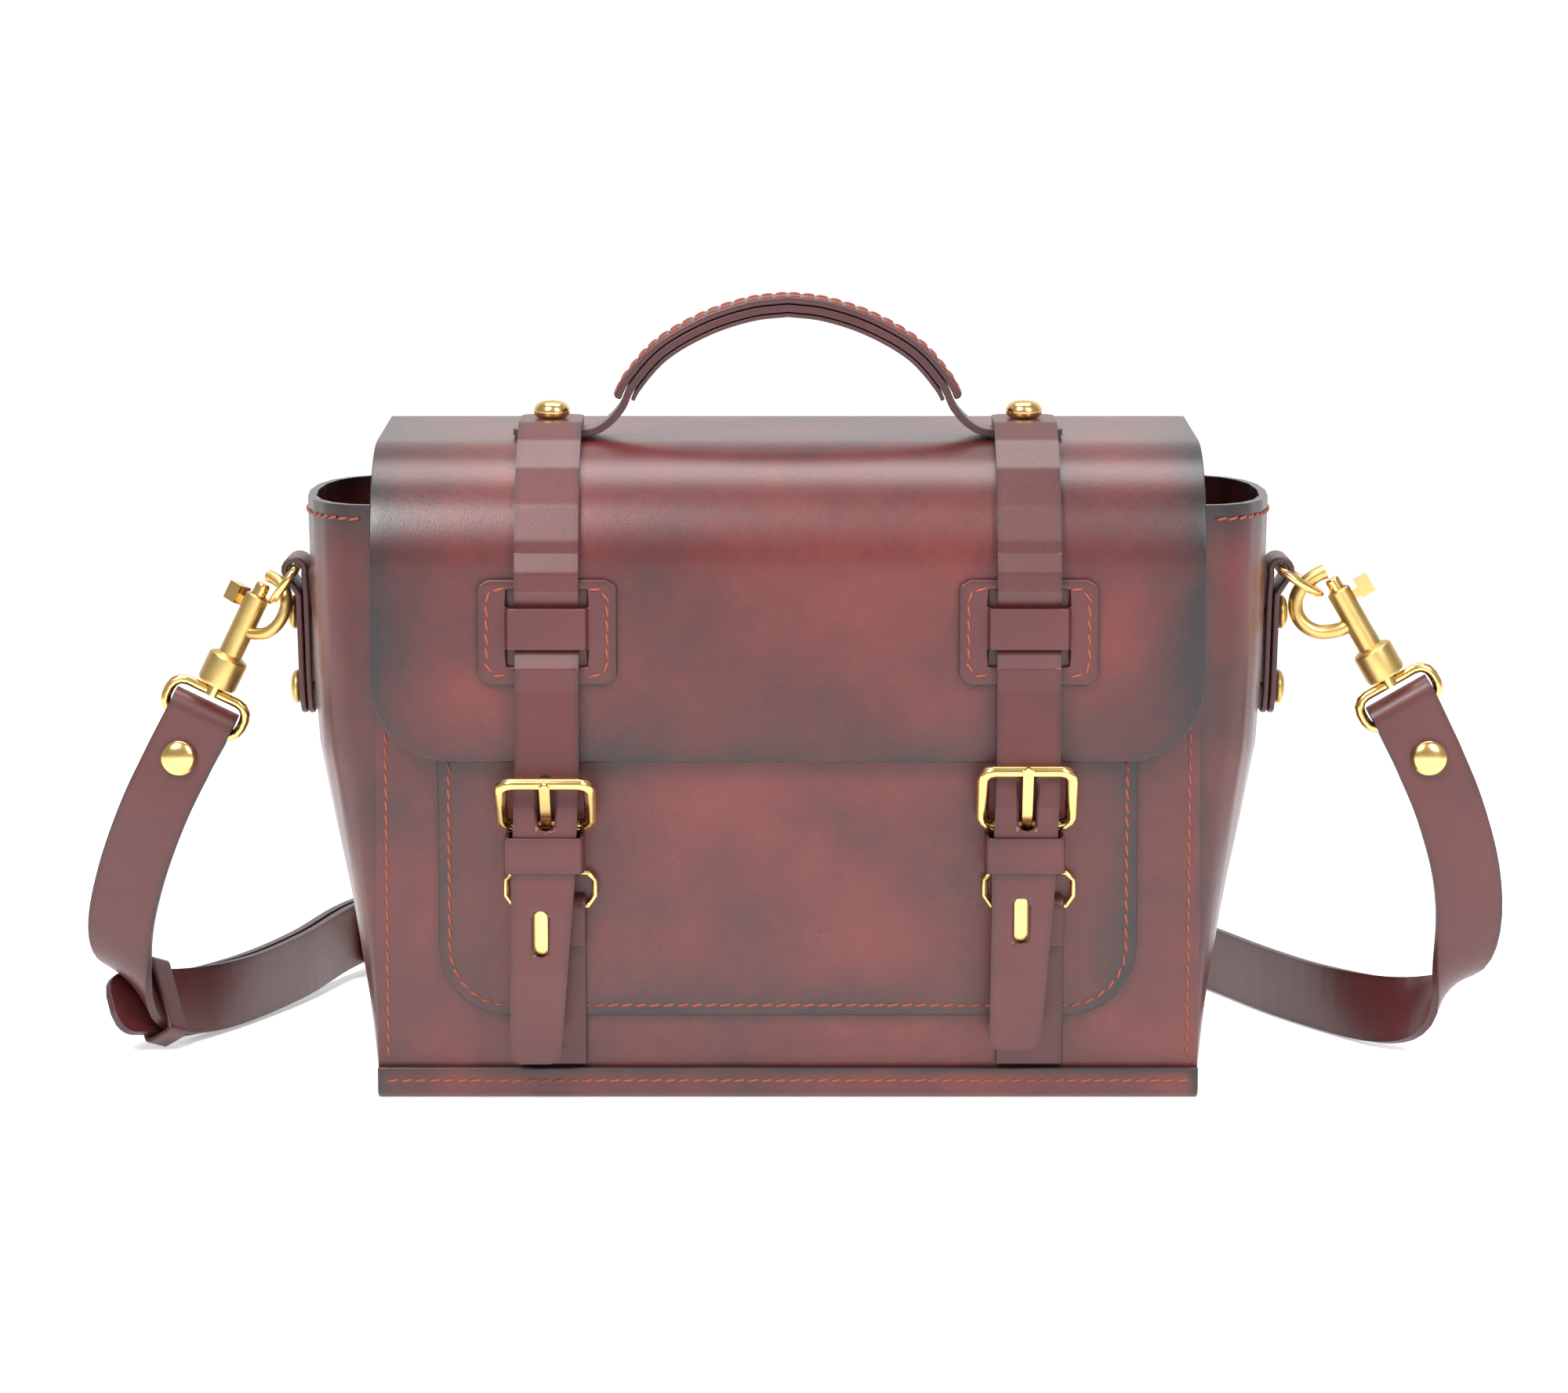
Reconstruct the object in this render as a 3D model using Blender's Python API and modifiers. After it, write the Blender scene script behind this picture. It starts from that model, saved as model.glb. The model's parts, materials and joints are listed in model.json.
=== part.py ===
"""A small structured leather satchel with a flap, two buckled closure straps and a clip-on shoulder strap.

Metres, +Z up. +X is the wearer's right in front view, -Y is the front with the buckles, and the origin is
the middle of the flat underside of the base.
"""

import math

import bmesh
import bpy
from mathutils import Matrix, Vector

MM = 0.001
GAP = 0.3 * MM  # clearance between pieces that touch

# Body
BODY_HALF = 117.5 * MM
BODY_TOP = 170 * MM
BODY_FRONT = 50 * MM  # outer face of the front and back panels
PANEL = 2.8 * MM
BASE = 3.0 * MM
FLANGE_TOP = 9 * MM
GUSSET = 2.5 * MM
BULGE = ((3, 1), (28, 5), (57, 10.5), (84, 16.5), (105, 20), (130, 21), (168, 22))  # height, bulge in mm

# Front pocket
POCKET_HALF = 99.5 * MM
POCKET_BOTTOM = 24 * MM
POCKET_TOP = 150 * MM
POCKET = 2.2 * MM
POCKET_CORNER = 20 * MM

# Flap
FLAP = 3.0 * MM
FLAP_HALF = 118 * MM
FLAP_FRONT = 56.5 * MM  # middle of the leather, at the front
FLAP_BOTTOM = 98 * MM
FLAP_CORNER = 22 * MM
CROWN_BACK = 188 * MM
CROWN_FRONT = 184 * MM

# Closure straps
STRAP_X = 68 * MM
STRAP = 18 * MM
STRAP_THICK = 2.4 * MM
STUD_Y = -18 * MM
BAR_Y = -58.5 * MM  # pivot bar of the closure buckles
BAR_Z = 80.2 * MM
BUCKLE_WIRE = 1.8 * MM
BUCKLE_HALF = 12.6 * MM
BUCKLE_LENGTH = 18.2 * MM  # pivot bar to top bar
TILT = {-1: 42, 1: 25.4}  # how far each buckle leans forward, degrees
RAISE = {-1: 0.0, 1: 4 * MM}  # how much further each tail is pulled through

# Side hardware
D_BAR = Vector((143.6 * MM, 0, 147.3 * MM))
D_DROP = {-1: 54.7, 1: 33.2}  # D-ring below horizontal, degrees
D_LENGTH = {-1: 12.5 * MM, 1: 14.6 * MM}
COLLAR = {-1: Vector((-165.9, 0, 116.5)) * MM, 1: Vector((173.5, 0, 119)) * MM}
BARREL_TILT = {-1: 25.8, 1: 30}
HOOK_TURN = {-1: 34, 1: 0}  # round the barrel, away from facing the bag
BOW_REACH = {-1: 0.8, 1: 1.0}  # width of each hook's bow against the larger one
BOW_WIRE = {-1: 1.8 * MM, 1: 2.2 * MM}
EYE_BAR = 17.2 * MM  # collar centre to the swivel eye's lower bar

# Shoulder strap
SHOULDER = 20 * MM
SHOULDER_THICK = 2.4 * MM

LAYER = SHOULDER_THICK + GAP

# Handle
HANDLE = 18 * MM
HANDLE_THICK = 2.1 * MM

# Keeper patches: leather, then heights of the edges, the raised bridge and the outer ends of the slots in mm
PATCH = 1.8 * MM
PATCH_TOP = 150.3
PATCH_LOW = 120.3
BRIDGE = (130.6, 142.4)
SLOTS = (125.5, 147.5)

# Studs, rivets and side tabs
STUD = ((0, 5), (2.6, 4.7), (4.3, 3.9), (5.25, 2.4), (5.1, 0.9), (4.4, 0), (1.4, 0))  # domed head: radius, height
TAB = 1.8 * MM
RIVETS = {"upper": 134 * MM, "lower": 112 * MM}

SIDES = {-1: "left", 1: "right"}
HINGE = Vector((0, BODY_FRONT, BODY_TOP - 2 * MM))  # line the flap folds on


# Materials and the object's collection


def material(name, colour, roughness, metallic=0.0):
    made = bpy.data.materials.new(name)
    made.use_nodes = True
    shader = made.node_tree.nodes["Principled BSDF"]
    shader.inputs["Base Color"].default_value = (*colour, 1)
    shader.inputs["Roughness"].default_value = roughness
    shader.inputs["Metallic"].default_value = metallic
    return made


for old in list(bpy.data.objects):
    bpy.data.objects.remove(old)
SATCHEL = bpy.data.collections.new("satchel")
CUTTERS = bpy.data.collections.new("cutters")
bpy.context.scene.collection.children.link(SATCHEL)
bpy.context.scene.collection.children.link(CUTTERS)
LEATHER = material("burnished_leather", (0.14, 0.026, 0.026), 0.4)
STRAP_LEATHER = material("strap_leather", (0.15, 0.04, 0.04), 0.45)
BRASS = material("brass", (0.75, 0.5, 0.18), 0.25, 1.0)
STEEL = material("spring_steel", (0.5, 0.5, 0.5), 0.3, 1.0)


def put(obj, mat):
    SATCHEL.objects.link(obj)
    obj.data.materials.append(mat)
    return obj


# Shapes


def smooth(points, steps=4):
    """A Catmull-Rom curve through the points, as a list of vectors."""
    knots = [Vector(p) for p in points]
    knots = [2 * knots[0] - knots[1]] + knots + [2 * knots[-1] - knots[-2]]
    out = []
    for a, b, c, d in zip(knots, knots[1:], knots[2:], knots[3:]):
        for i in range(steps):
            t = i / steps
            out.append(0.5 * (2 * b + (c - a) * t + (2 * a - 5 * b + 4 * c - d) * t * t
                              + (3 * b - a - 3 * c + d) * t ** 3))
    return out + [knots[-2]]


def filleted(points, radii, steps=6):
    """A 2D path whose inner corners are arcs of the given radii."""
    path = [Vector(p) for p in points]
    out = [path[0]]
    for before, corner, after, radius in zip(path, path[1:], path[2:], radii):
        u, v = (before - corner).normalized(), (after - corner).normalized()
        half = u.angle(v) / 2
        reach = radius / math.tan(half)
        centre = corner + (u + v).normalized() * radius / math.sin(half)
        start, end = corner + u * reach - centre, corner + v * reach - centre
        for i in range(steps + 1):
            sweep = start.angle(end)
            weight = (math.sin((1 - i / steps) * sweep), math.sin(i / steps * sweep))
            arm = (start * weight[0] + end * weight[1]) / math.sin(sweep)
            out.append(centre + arm)
    return out + [path[-1]]


def offset(path, distance):
    """A 2D path moved sideways, to its left when distance is positive."""
    out = []
    for i, point in enumerate(path):
        along = (path[min(i + 1, len(path) - 1)] - path[max(i - 1, 0)]).normalized()
        out.append(point + Vector((-along.y, along.x)) * distance)
    return out


def shell(name, rows, thick, mat, closed=False, holes=()):
    """Leather or plate through a grid of points on its middle surface, given its thickness by Solidify."""
    wide = len(rows[0])
    faces = []
    for r in range(len(rows) - 1):
        for c in range(wide if closed else wide - 1):
            if (r, c) not in holes:
                after = (c + 1) % wide
                faces.append((r * wide + c, r * wide + after, (r + 1) * wide + after, (r + 1) * wide + c))
    mesh = bpy.data.meshes.new(name)
    mesh.from_pydata([tuple(p) for row in rows for p in row], [], faces)
    mesh.shade_smooth()
    obj = put(bpy.data.objects.new(name, mesh), mat)
    leather = obj.modifiers.new("thickness", "SOLIDIFY")
    leather.thickness = thick
    leather.offset = 0
    leather.use_even_offset = True
    return obj


def ribbon(name, centres, sides, width, thick, mat, ends=(0, 0), across=(-1, 1)):
    """A strap along centres; sides are unit width directions, and ends are the radii of its rounded ends."""
    rows = []
    length = [0.0]
    for a, b in zip(centres, centres[1:]):
        length.append(length[-1] + (b - a).length)
    for centre, side, s in zip(centres, sides, length):
        half = width(s / length[-1]) / 2 if callable(width) else width / 2
        for near, radius in ((s, ends[0]), (length[-1] - s, ends[1])):
            if radius and near < radius:
                half -= radius - math.sqrt(max(radius * radius - (radius - near) ** 2, 0))
        rows.append([centre + side * half * share for share in across])
    return shell(name, rows, thick, mat)


def upright_ribbon(name, path, x, width, thick, mat, ends=(0, 0), drift=None):
    """A strap whose path lies in a YZ plane and whose width is along X."""
    centres = [Vector((x + (drift(p.y) if drift else 0), p.x, p.y)) for p in path]
    return ribbon(name, centres, [Vector((1, 0, 0))] * len(centres), width, thick, mat, ends)


def slab(name, low, high, mat, collection=None):
    bpy.ops.mesh.primitive_cube_add(size=1)
    obj = bpy.context.object
    obj.name = obj.data.name = name
    size = [b - a for a, b in zip(low, high)]
    middle = [(a + b) / 2 for a, b in zip(low, high)]
    obj.data.transform(Matrix.Translation(middle) @ Matrix.Diagonal((*size, 1)))
    return adopt(obj, mat, collection)


def adopt(obj, mat, collection=None):
    for old in list(obj.users_collection):
        old.objects.unlink(obj)
    if collection:
        collection.objects.link(obj)
        return obj
    return put(obj, mat)


def wire(name, points, radius, mat, cyclic=False, sides=1):
    """Round wire through the points."""
    curve = bpy.data.curves.new(name, "CURVE")
    curve.dimensions = "3D"
    curve.bevel_depth = radius
    curve.bevel_resolution = sides
    curve.use_fill_caps = True
    spline = curve.splines.new("POLY")
    spline.points.add(len(points) - 1)
    for knot, point in zip(spline.points, points):
        knot.co = (*point, 1)
    spline.use_cyclic_u = cyclic
    spline.use_smooth = True
    return put(bpy.data.objects.new(name, curve), mat)


def turned(name, profile, matrix, mat, steps=12, collection=None):
    """A solid of revolution. profile is (radius, height) from its top to its bottom, down the outer side."""
    mesh = bpy.data.meshes.new(name)
    points = [(r, 0, h) for r, h in profile]
    mesh.from_pydata(points, [(i, i + 1) for i in range(len(points) - 1)], [])
    obj = bpy.data.objects.new(name, mesh)
    spin = obj.modifiers.new("turn", "SCREW")
    spin.steps = spin.render_steps = steps
    spin.use_merge_vertices = True
    spin.merge_threshold = 1e-5
    obj.matrix_world = matrix
    if collection:
        collection.objects.link(obj)
        return obj
    return put(obj, mat)


def helper(obj):
    obj.hide_render = True
    obj.display_type = "WIRE"
    return obj


def to_mesh(obj):
    """The evaluated curve or turned solid as a welded mesh object in the same place and collections."""
    bpy.context.view_layer.update()
    graph = bpy.context.evaluated_depsgraph_get()
    mesh = bpy.data.meshes.new_from_object(obj.evaluated_get(graph))
    work = bmesh.new()
    work.from_mesh(mesh)
    bmesh.ops.remove_doubles(work, verts=work.verts, dist=1e-6)
    work.to_mesh(mesh)
    work.free()
    made = bpy.data.objects.new(obj.name, mesh)
    made.matrix_world = obj.matrix_world
    for collection in obj.users_collection:
        collection.objects.link(made)
    name = obj.name
    bpy.data.objects.remove(obj)
    made.name = name
    return made


def boolean(target, other, operation="DIFFERENCE"):
    if other.name not in CUTTERS.objects:
        for old in list(other.users_collection):
            old.objects.unlink(other)
        CUTTERS.objects.link(other)
    step = target.modifiers.new(other.name, "BOOLEAN")
    step.operation = operation
    step.object = helper(other)


def drill(name, centre, direction, radius, reach, targets):
    """One round cutter through the targets, along direction and reaching both ways."""
    matrix = Matrix.Translation(centre) @ Vector(direction).to_track_quat("Z", "Y").to_matrix().to_4x4()
    profile = ((0, reach), (radius, reach), (radius, -reach), (0, -reach))
    cutter = helper(turned(name, profile, matrix, None, 12, CUTTERS))
    for target in targets:
        boolean(target, cutter)


def slot_cutter(name, x, z_low, z_high, width, y_low, y_high):
    """A cutter with round ends, along Z, that goes through a strap in Y."""
    radius = width / 2
    outline = []
    for middle, start in ((z_high - radius, 0), (z_low + radius, math.pi)):
        for i in range(7):
            angle = start + math.pi * i / 6
            outline.append((x + radius * math.cos(angle), middle + radius * math.sin(angle)))
    mesh = bpy.data.meshes.new(name)
    work = bmesh.new()
    face = work.faces.new([work.verts.new((px, y_low, pz)) for px, pz in outline])
    wall = bmesh.ops.extrude_face_region(work, geom=[face])
    moved = [v for v in wall["geom"] if isinstance(v, bmesh.types.BMVert)]
    bmesh.ops.translate(work, verts=moved, vec=(0, y_high - y_low, 0))
    bmesh.ops.recalc_face_normals(work, faces=work.faces)
    work.to_mesh(mesh)
    work.free()
    obj = bpy.data.objects.new(name, mesh)
    CUTTERS.objects.link(obj)
    return helper(obj)


def placed(origin, up, side):
    """A matrix whose Z is up and whose X is as near as may be to side."""
    z = Vector(up).normalized()
    x = (Vector(side) - Vector(side).dot(z) * z).normalized()
    frame = Matrix((x, z.cross(x), z)).transposed().to_4x4()
    return Matrix.Translation(origin) @ frame


# Body


def bulge(height):
    """How far the gusset stands out at this height."""
    curve = smooth([(h, b) for h, b in BULGE], 8)
    for a, b in zip(curve, curve[1:]):
        if a.x <= height / MM <= b.x:
            return MM * (a.y + (b.y - a.y) * (height / MM - a.x) / (b.x - a.x))
    return MM * (BULGE[0][1] if height / MM < BULGE[0][0] else BULGE[-1][1])


def gusset_face(side, height):
    """X of the gusset's outer face at mid depth."""
    return side * (BODY_HALF - GUSSET / 2 + bulge(height) + GUSSET / 2)


def build_body():
    middle = BODY_FRONT + GAP + BASE / 2
    profile = filleted([(-middle, FLANGE_TOP), (-middle, BASE / 2), (middle, BASE / 2), (middle, FLANGE_TOP)],
                       (1.6 * MM, 1.6 * MM), 3)
    shell("base_panel", [[(x, p.x, p.y) for p in profile] for x in (-BODY_HALF, BODY_HALF)], BASE, LEATHER)
    for name, outer in (("front_panel", -BODY_FRONT), ("back_panel", BODY_FRONT)):
        inner = outer - math.copysign(PANEL, outer)
        low = (-BODY_HALF, min(outer, inner), BASE + GAP)
        slab(name, low, (BODY_HALF, max(outer, inner), BODY_TOP - 2 * MM), LEATHER)
    depth = BODY_FRONT - PANEL - GAP - GUSSET / 2
    for side, word in SIDES.items():
        rows = []
        for i in range(8):
            height = BASE + GAP + (BODY_TOP - BASE - GAP) * i / 7
            row = [(side * (BODY_HALF - 10 * MM), -depth, height)]
            for j in range(11):
                angle = math.pi * j / 10
                y = -depth * math.copysign(abs(math.cos(angle)) ** 0.8, math.cos(angle))
                x = BODY_HALF - GUSSET / 2 - 0.6 * MM + (bulge(height) + 0.6 * MM) * math.sin(angle) ** 0.8
                row.append((side * x, y, height))
            row.append((side * (BODY_HALF - 10 * MM), depth, height))
            rows.append(row)
        shell(f"gusset_{word}", rows, GUSSET, LEATHER)
    front = BODY_FRONT + GAP
    corner = POCKET_CORNER
    outline = [(POCKET_HALF, POCKET_TOP)]
    for i in range(7):
        angle = -math.pi / 2 * i / 6
        outline.append((POCKET_HALF - corner + corner * math.cos(angle),
                        POCKET_BOTTOM + corner + corner * math.sin(angle)))
    rows = [[(-x, -front - POCKET / 2, z), (x, -front - POCKET / 2, z)] for x, z in outline]
    shell("front_pocket", rows, POCKET, LEATHER)


# Flap and its straps


def flap_path():
    """The middle of the flap's leather in YZ, from its hinge line up, over and down the front."""
    back = BODY_FRONT - PANEL / 2
    corners = [(back, BODY_TOP - 2 * MM + GAP), (back, CROWN_BACK), (-FLAP_FRONT, CROWN_FRONT),
               (-FLAP_FRONT, FLAP_BOTTOM)]
    return filleted(corners, (17 * MM, 32 * MM), 6)


def build_flap():
    path = flap_path()
    bottom = [Vector((-FLAP_FRONT, FLAP_BOTTOM + FLAP_CORNER * (1 - math.sin(math.pi / 2 * i / 6))))
              for i in range(7)]
    rows = []
    for point in path[:-1] + [Vector((-FLAP_FRONT, 130 * MM))] + bottom:
        reach = FLAP_CORNER - (point.y - FLAP_BOTTOM)
        half = FLAP_HALF
        if point.x < 0 and reach > 0:
            half -= FLAP_CORNER - math.sqrt(max(FLAP_CORNER ** 2 - reach ** 2, 0))
        rows.append([(half * t, point.x, point.y) for t in (-1, 1)])
    return shell("flap", rows, FLAP, LEATHER)


def crown_height(y):
    """Outer face of the flap's crown."""
    back = BODY_FRONT - PANEL / 2
    return CROWN_FRONT + (CROWN_BACK - CROWN_FRONT) * (y + FLAP_FRONT) / (back + FLAP_FRONT) + FLAP / 2


def handle_path():
    """Right half of the handle's main strap in XZ, from its foot to the top, then mirrored."""
    foot = crown_height(STUD_Y) + GAP + HANDLE_THICK / 2 + 0.35 * MM
    half = [(79, foot / MM), (66, foot / MM), (57, foot / MM + 0.3), (52, foot / MM + 2.6), (47.6, 196),
            (44.4, 202.4), (36, 211.8), (23.4, 219.1), (10.6, 223.3), (0, 224.6)]
    right = smooth([(x * MM, z * MM) for x, z in half], 3)
    return [Vector((-p.x, p.y)) for p in right][:-1] + right[::-1]


def flat_ribbon(name, path, y, width, thick, mat, ends=(0, 0)):
    """A strap whose path lies in an XZ plane and whose width is along Y."""
    centres = [Vector((p.x, y, p.y)) for p in path]
    return ribbon(name, centres, [Vector((0, 1, 0))] * len(centres), width, thick, mat, ends)


def build_handle():
    path = handle_path()
    strap = flat_ribbon("handle_strap", path, STUD_Y, HANDLE, HANDLE_THICK, STRAP_LEATHER, (6 * MM, 6 * MM))
    arch = [p for p in path if p.y > 197 * MM]
    grip, lining = 2.0 * MM, 1.2 * MM
    above = offset(arch, HANDLE_THICK / 2 + GAP + grip / 2)
    below = offset(arch[1:-1], -(HANDLE_THICK / 2 + GAP + lining / 2))
    flat_ribbon("handle_grip", above, STUD_Y, HANDLE, grip, STRAP_LEATHER)
    flat_ribbon("handle_lining", below, STUD_Y, HANDLE - 1 * MM, lining, STRAP_LEATHER)
    return strap


def build_patch(side, word):
    """The H-shaped keeper: two slots for the strap, and a bridge that bulges over it."""
    x0 = side * STRAP_X
    flat = FLAP_FRONT + FLAP / 2 + GAP + PATCH / 2
    raised = flat + 2.8 * MM
    heights = (PATCH_LOW, PATCH_LOW + 3, SLOTS[0], *BRIDGE, SLOTS[1], PATCH_TOP - 2, PATCH_TOP)
    across = (-19.7, -16.5, -11.4, -10.4, 10.4, 11.4, 16.5, 19.7)
    rows = []
    for z in heights:
        row = []
        for dx in across:
            up = BRIDGE[0] <= z <= BRIDGE[1] and abs(dx) < 11
            corner = abs(dx) > 19 and z in (PATCH_LOW, PATCH_TOP)
            row.append((x0 + (dx * 0.93 if corner else dx) * MM, -(raised if up else flat),
                        (z + (1 if z == PATCH_LOW else -1) * corner) * MM))
        rows.append(row)
    holes = {(r, c) for r in (2, 4) for c in (2, 3, 4)}
    return shell(f"keeper_patch_{word}", rows, PATCH, STRAP_LEATHER, holes=holes)


def strap_path(side):
    """Middle of a closure strap in YZ: crown, over the patch's margin, under its bridge, buckle, tail."""
    crown = crown_height(STUD_Y) / MM + 0.3 + HANDLE_THICK / MM + 0.65 + STRAP_THICK / MM / 2
    face = (FLAP_FRONT + FLAP / 2 + GAP + STRAP_THICK / 2) / MM
    over = face + 2.2
    tip = 12 + RAISE[side] / MM
    points = [(-5, crown + 0.2), (-18, crown), (-28.5, crown - 0.2), (-38, 186.9), (-47.5, 180.2), (-55, 170.5),
              (-58.9, 161), (-face, 157.5), (-over, 152.2), (-over, 147.1), (-face, 142.7), (-face, 130.2),
              (-over, 125), (-over, 119), (-62.3, 108), (-63, 98), (-63.9, 86), (-64.1, 76), (-64.0, 66),
              (-64.2, 54), (-64.0, 38), (-62.8, 24), (-61.6, tip)]
    corners = [Vector((y, z)) * MM for y, z in points]
    return filleted(corners, [6 * MM] * 6 + [3 * MM, 2 * MM] + [1.2 * MM] * 5 + [5 * MM] * 8, 2)


def tail_drift(z):
    """The straps swing a little towards -X below the buckles."""
    low = max(0.0, (100 * MM - z) / (100 * MM))
    return -4.5 * MM * low ** 1.2


def build_closure(side, word):
    x0 = side * STRAP_X
    path = strap_path(side)

    def width(share):
        return STRAP if share < 0.76 else STRAP * (1 - 0.2 * (share - 0.76) / 0.24)

    strap = upright_ribbon(f"closure_strap_{word}", path, x0, width, STRAP_THICK, STRAP_LEATHER,
                           (5 * MM, 3 * MM), tail_drift)
    hole_x = x0 + tail_drift(88 * MM)
    boolean(strap, slot_cutter(f"hole_{word}", hole_x, 79.2 * MM, 95.5 * MM, 5 * MM, -70 * MM, -57 * MM))
    lift = RAISE[side]
    slot_x = x0 + tail_drift(50 * MM)
    boolean(strap, slot_cutter(f"slot_{word}", slot_x, 43 * MM + lift, 56.5 * MM + lift, 3.9 * MM,
                               -70 * MM, -60.5 * MM))
    return strap


def build_buckle(side, word):
    """Frame, prong, chape and keeper. The frame and its prong turn on the pivot bar."""
    x0 = side * STRAP_X + tail_drift(88 * MM)
    lean = math.radians(TILT[side])
    pivot = Vector((x0, BAR_Y, BAR_Z))
    up = Vector((0, -math.sin(lean), math.cos(lean)))
    front = Vector((0, -math.cos(lean), -math.sin(lean)))
    across = Vector((1, 0, 0))
    corner = 3.2 * MM
    ring = []
    for sx, sz in ((1, 0), (1, 1), (-1, 1), (-1, 0)):
        start = {(1, 0): -90, (1, 1): 0, (-1, 1): 90, (-1, 0): 180}[sx, sz]
        for i in range(4):
            angle = math.radians(start + 30 * i)
            ring.append(pivot + across * (sx * (BUCKLE_HALF - corner) + corner * math.cos(angle))
                        + up * (corner if sz == 0 else BUCKLE_LENGTH - corner) + up * corner * math.sin(angle))
    wire(f"buckle_{word}", ring, BUCKLE_WIRE, BRASS, True)
    turn = BUCKLE_WIRE + 0.85 * MM
    prong = []
    for i in range(9):
        angle = math.radians(250 - 250 * i / 8)
        prong.append(pivot + front * turn * math.cos(angle) - up * turn * math.sin(angle))
    prong.append(pivot + front * turn + up * (BUCKLE_LENGTH + 3 * MM))
    ribbon(f"prong_{word}", prong, [across] * len(prong), 3 * MM, 1.2 * MM, BRASS, (0, 1 * MM))
    loop = BUCKLE_WIRE + GAP + 0.9 * MM
    chape = [Vector((BAR_Y + loop, 70.5 * MM))]
    for i in range(9):
        angle = math.pi * i / 8
        chape.append(Vector((BAR_Y + loop * math.cos(angle), BAR_Z + loop * math.sin(angle))))
    chape.append(Vector((BAR_Y - loop, 70.5 * MM)))
    leather = upright_ribbon(f"buckle_chape_{word}", chape, x0, 17 * MM, 1.8 * MM, STRAP_LEATHER)
    window = slab(f"window_{word}", (x0 - 2.3 * MM, -63.5 * MM, 76.4 * MM), (x0 + 2.3 * MM, -53 * MM, 90 * MM),
                  None, CUTTERS)
    boolean(leather, window)
    half = STRAP / 2 + 1.6 * MM
    front_y, back_y = -66.3 * MM, -53.6 * MM
    band = filleted([(0, back_y), (half, back_y), (half, front_y), (-half, front_y), (-half, back_y), (0, back_y)],
                    [1.6 * MM] * 4, 3)[:-1]
    keeper_x = side * STRAP_X + tail_drift(72 * MM)
    rows = [[(keeper_x + p.x, p.y, z) for p in band] for z in (67.3 * MM, 77.6 * MM)]
    shell(f"keeper_loop_{word}", rows, 1.4 * MM, STRAP_LEATHER, closed=True)


def build_clasp(side, word):
    """Lower strap from the base, the wire ring on its end, and the flat clasp that hangs from the chape."""
    x0 = side * STRAP_X
    back, front = -53.7, -57.7
    loop = [Vector((back, 56.5))]
    for i in range(7):
        angle = math.pi * i / 6
        loop.append(Vector((-55.7 + 2 * math.cos(angle), 56.5 + 2 * math.sin(angle))))
    path = [(-51.5, 9.6), (-51.5, 16.5), (back, 22.6)] + [tuple(p) for p in loop[1:]] + [(front, 45)]
    path = [Vector(p) * MM for p in path]
    upright_ribbon(f"lower_strap_{word}", path, x0 + 1 * MM, 19 * MM, 1.8 * MM, STRAP_LEATHER)
    x1 = x0 + 0.5 * MM
    outline = [(-10.6, 56.5), (-12.6, 59.5), (-12.6, 64), (-10.5, 66.1), (10.5, 66.1), (12.6, 64), (12.6, 59.5),
               (10.6, 56.5)]
    ring = [(x1 + x * MM, (-55.7 - 0.06 * (z - 56.5)) * MM, z * MM) for x, z in outline]
    wire(f"clasp_ring_{word}", ring, 0.8 * MM, BRASS, True)
    hook = [Vector(p) * MM for p in ((-58.4, 75), (-58.4, 64), (-60.4, 59.5), (-60.4, 42))]
    upright_ribbon(f"clasp_hook_{word}", filleted(hook, (2 * MM, 2 * MM), 3), x0 + tail_drift(60 * MM), 8 * MM,
                   1.3 * MM, BRASS)


def build_top_stud(side, word, straps):
    """Domed screw stud through the closure strap, the handle's foot and the flap, with a plate inside."""
    seat = strap_path(side)[0]
    top = seat.y - 0.2 * MM + STRAP_THICK / 2 + GAP
    inside = crown_height(STUD_Y) - FLAP - GAP - 0.15 * MM - top
    profile = [(r * MM, h * MM) for r, h in STUD]
    profile += [(1.4 * MM, inside), (4 * MM, inside), (4 * MM, inside - 1 * MM), (0, inside - 1 * MM)]
    centre = Vector((side * STRAP_X, STUD_Y, top))
    turned(f"top_stud_{word}", profile, Matrix.Translation(centre), BRASS)
    drill(f"stud_hole_{word}", centre, (0, 0, 1), 1.8 * MM, 30 * MM, straps)


# Side tabs, rings and snap hooks


def build_tab(side, word, gusset):
    """Folded leather tab on the gusset, with the D-ring in its fold and two rivets."""
    radius = 3.0 * MM
    centre = Vector((D_BAR.x, D_BAR.z))
    def clear(height, layer):
        return abs(gusset_face(1, height)) + GAP + 0.35 * MM + TAB / 2 + layer * (TAB + GAP)
    inner = [Vector((clear(z * MM, 0), z * MM)) for z in (105, 112, 119, 126, 133, 140)]
    outer = [Vector((clear(z * MM, 1), z * MM)) for z in (140, 133, 126, 119, 112, 105)]
    fold = []
    for i in range(11):
        angle = math.radians(200 - 230 * i / 10)
        fold.append(centre + radius * Vector((math.cos(angle), math.sin(angle))))
    path = [Vector((side * p.x, p.y)) for p in inner + fold + outer]
    tab = flat_ribbon(f"side_tab_{word}", path, 0, 19 * MM, TAB, STRAP_LEATHER, (4 * MM, 4 * MM))
    for place, z in RIVETS.items():
        x = clear(z, 1) + TAB / 2 + GAP
        inside = abs(gusset_face(1, z)) - GUSSET - 4 * GAP - x
        profile = [(r * MM * 0.95, h * MM * 0.6) for r, h in STUD]
        profile += [(1.4 * MM, inside), (3.5 * MM, inside), (3.5 * MM, inside - 0.8 * MM), (0, inside - 0.8 * MM)]
        out = Vector((side, 0, 0))
        turned(f"tab_rivet_{word}_{place}", profile, placed(Vector((side * x, 0, z)), out, (0, 1, 0)), BRASS, 10)
        drill(f"rivet_hole_{word}_{place}", Vector((side * x, 0, z)), out, 1.8 * MM, 12 * MM, (tab, gusset))


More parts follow.
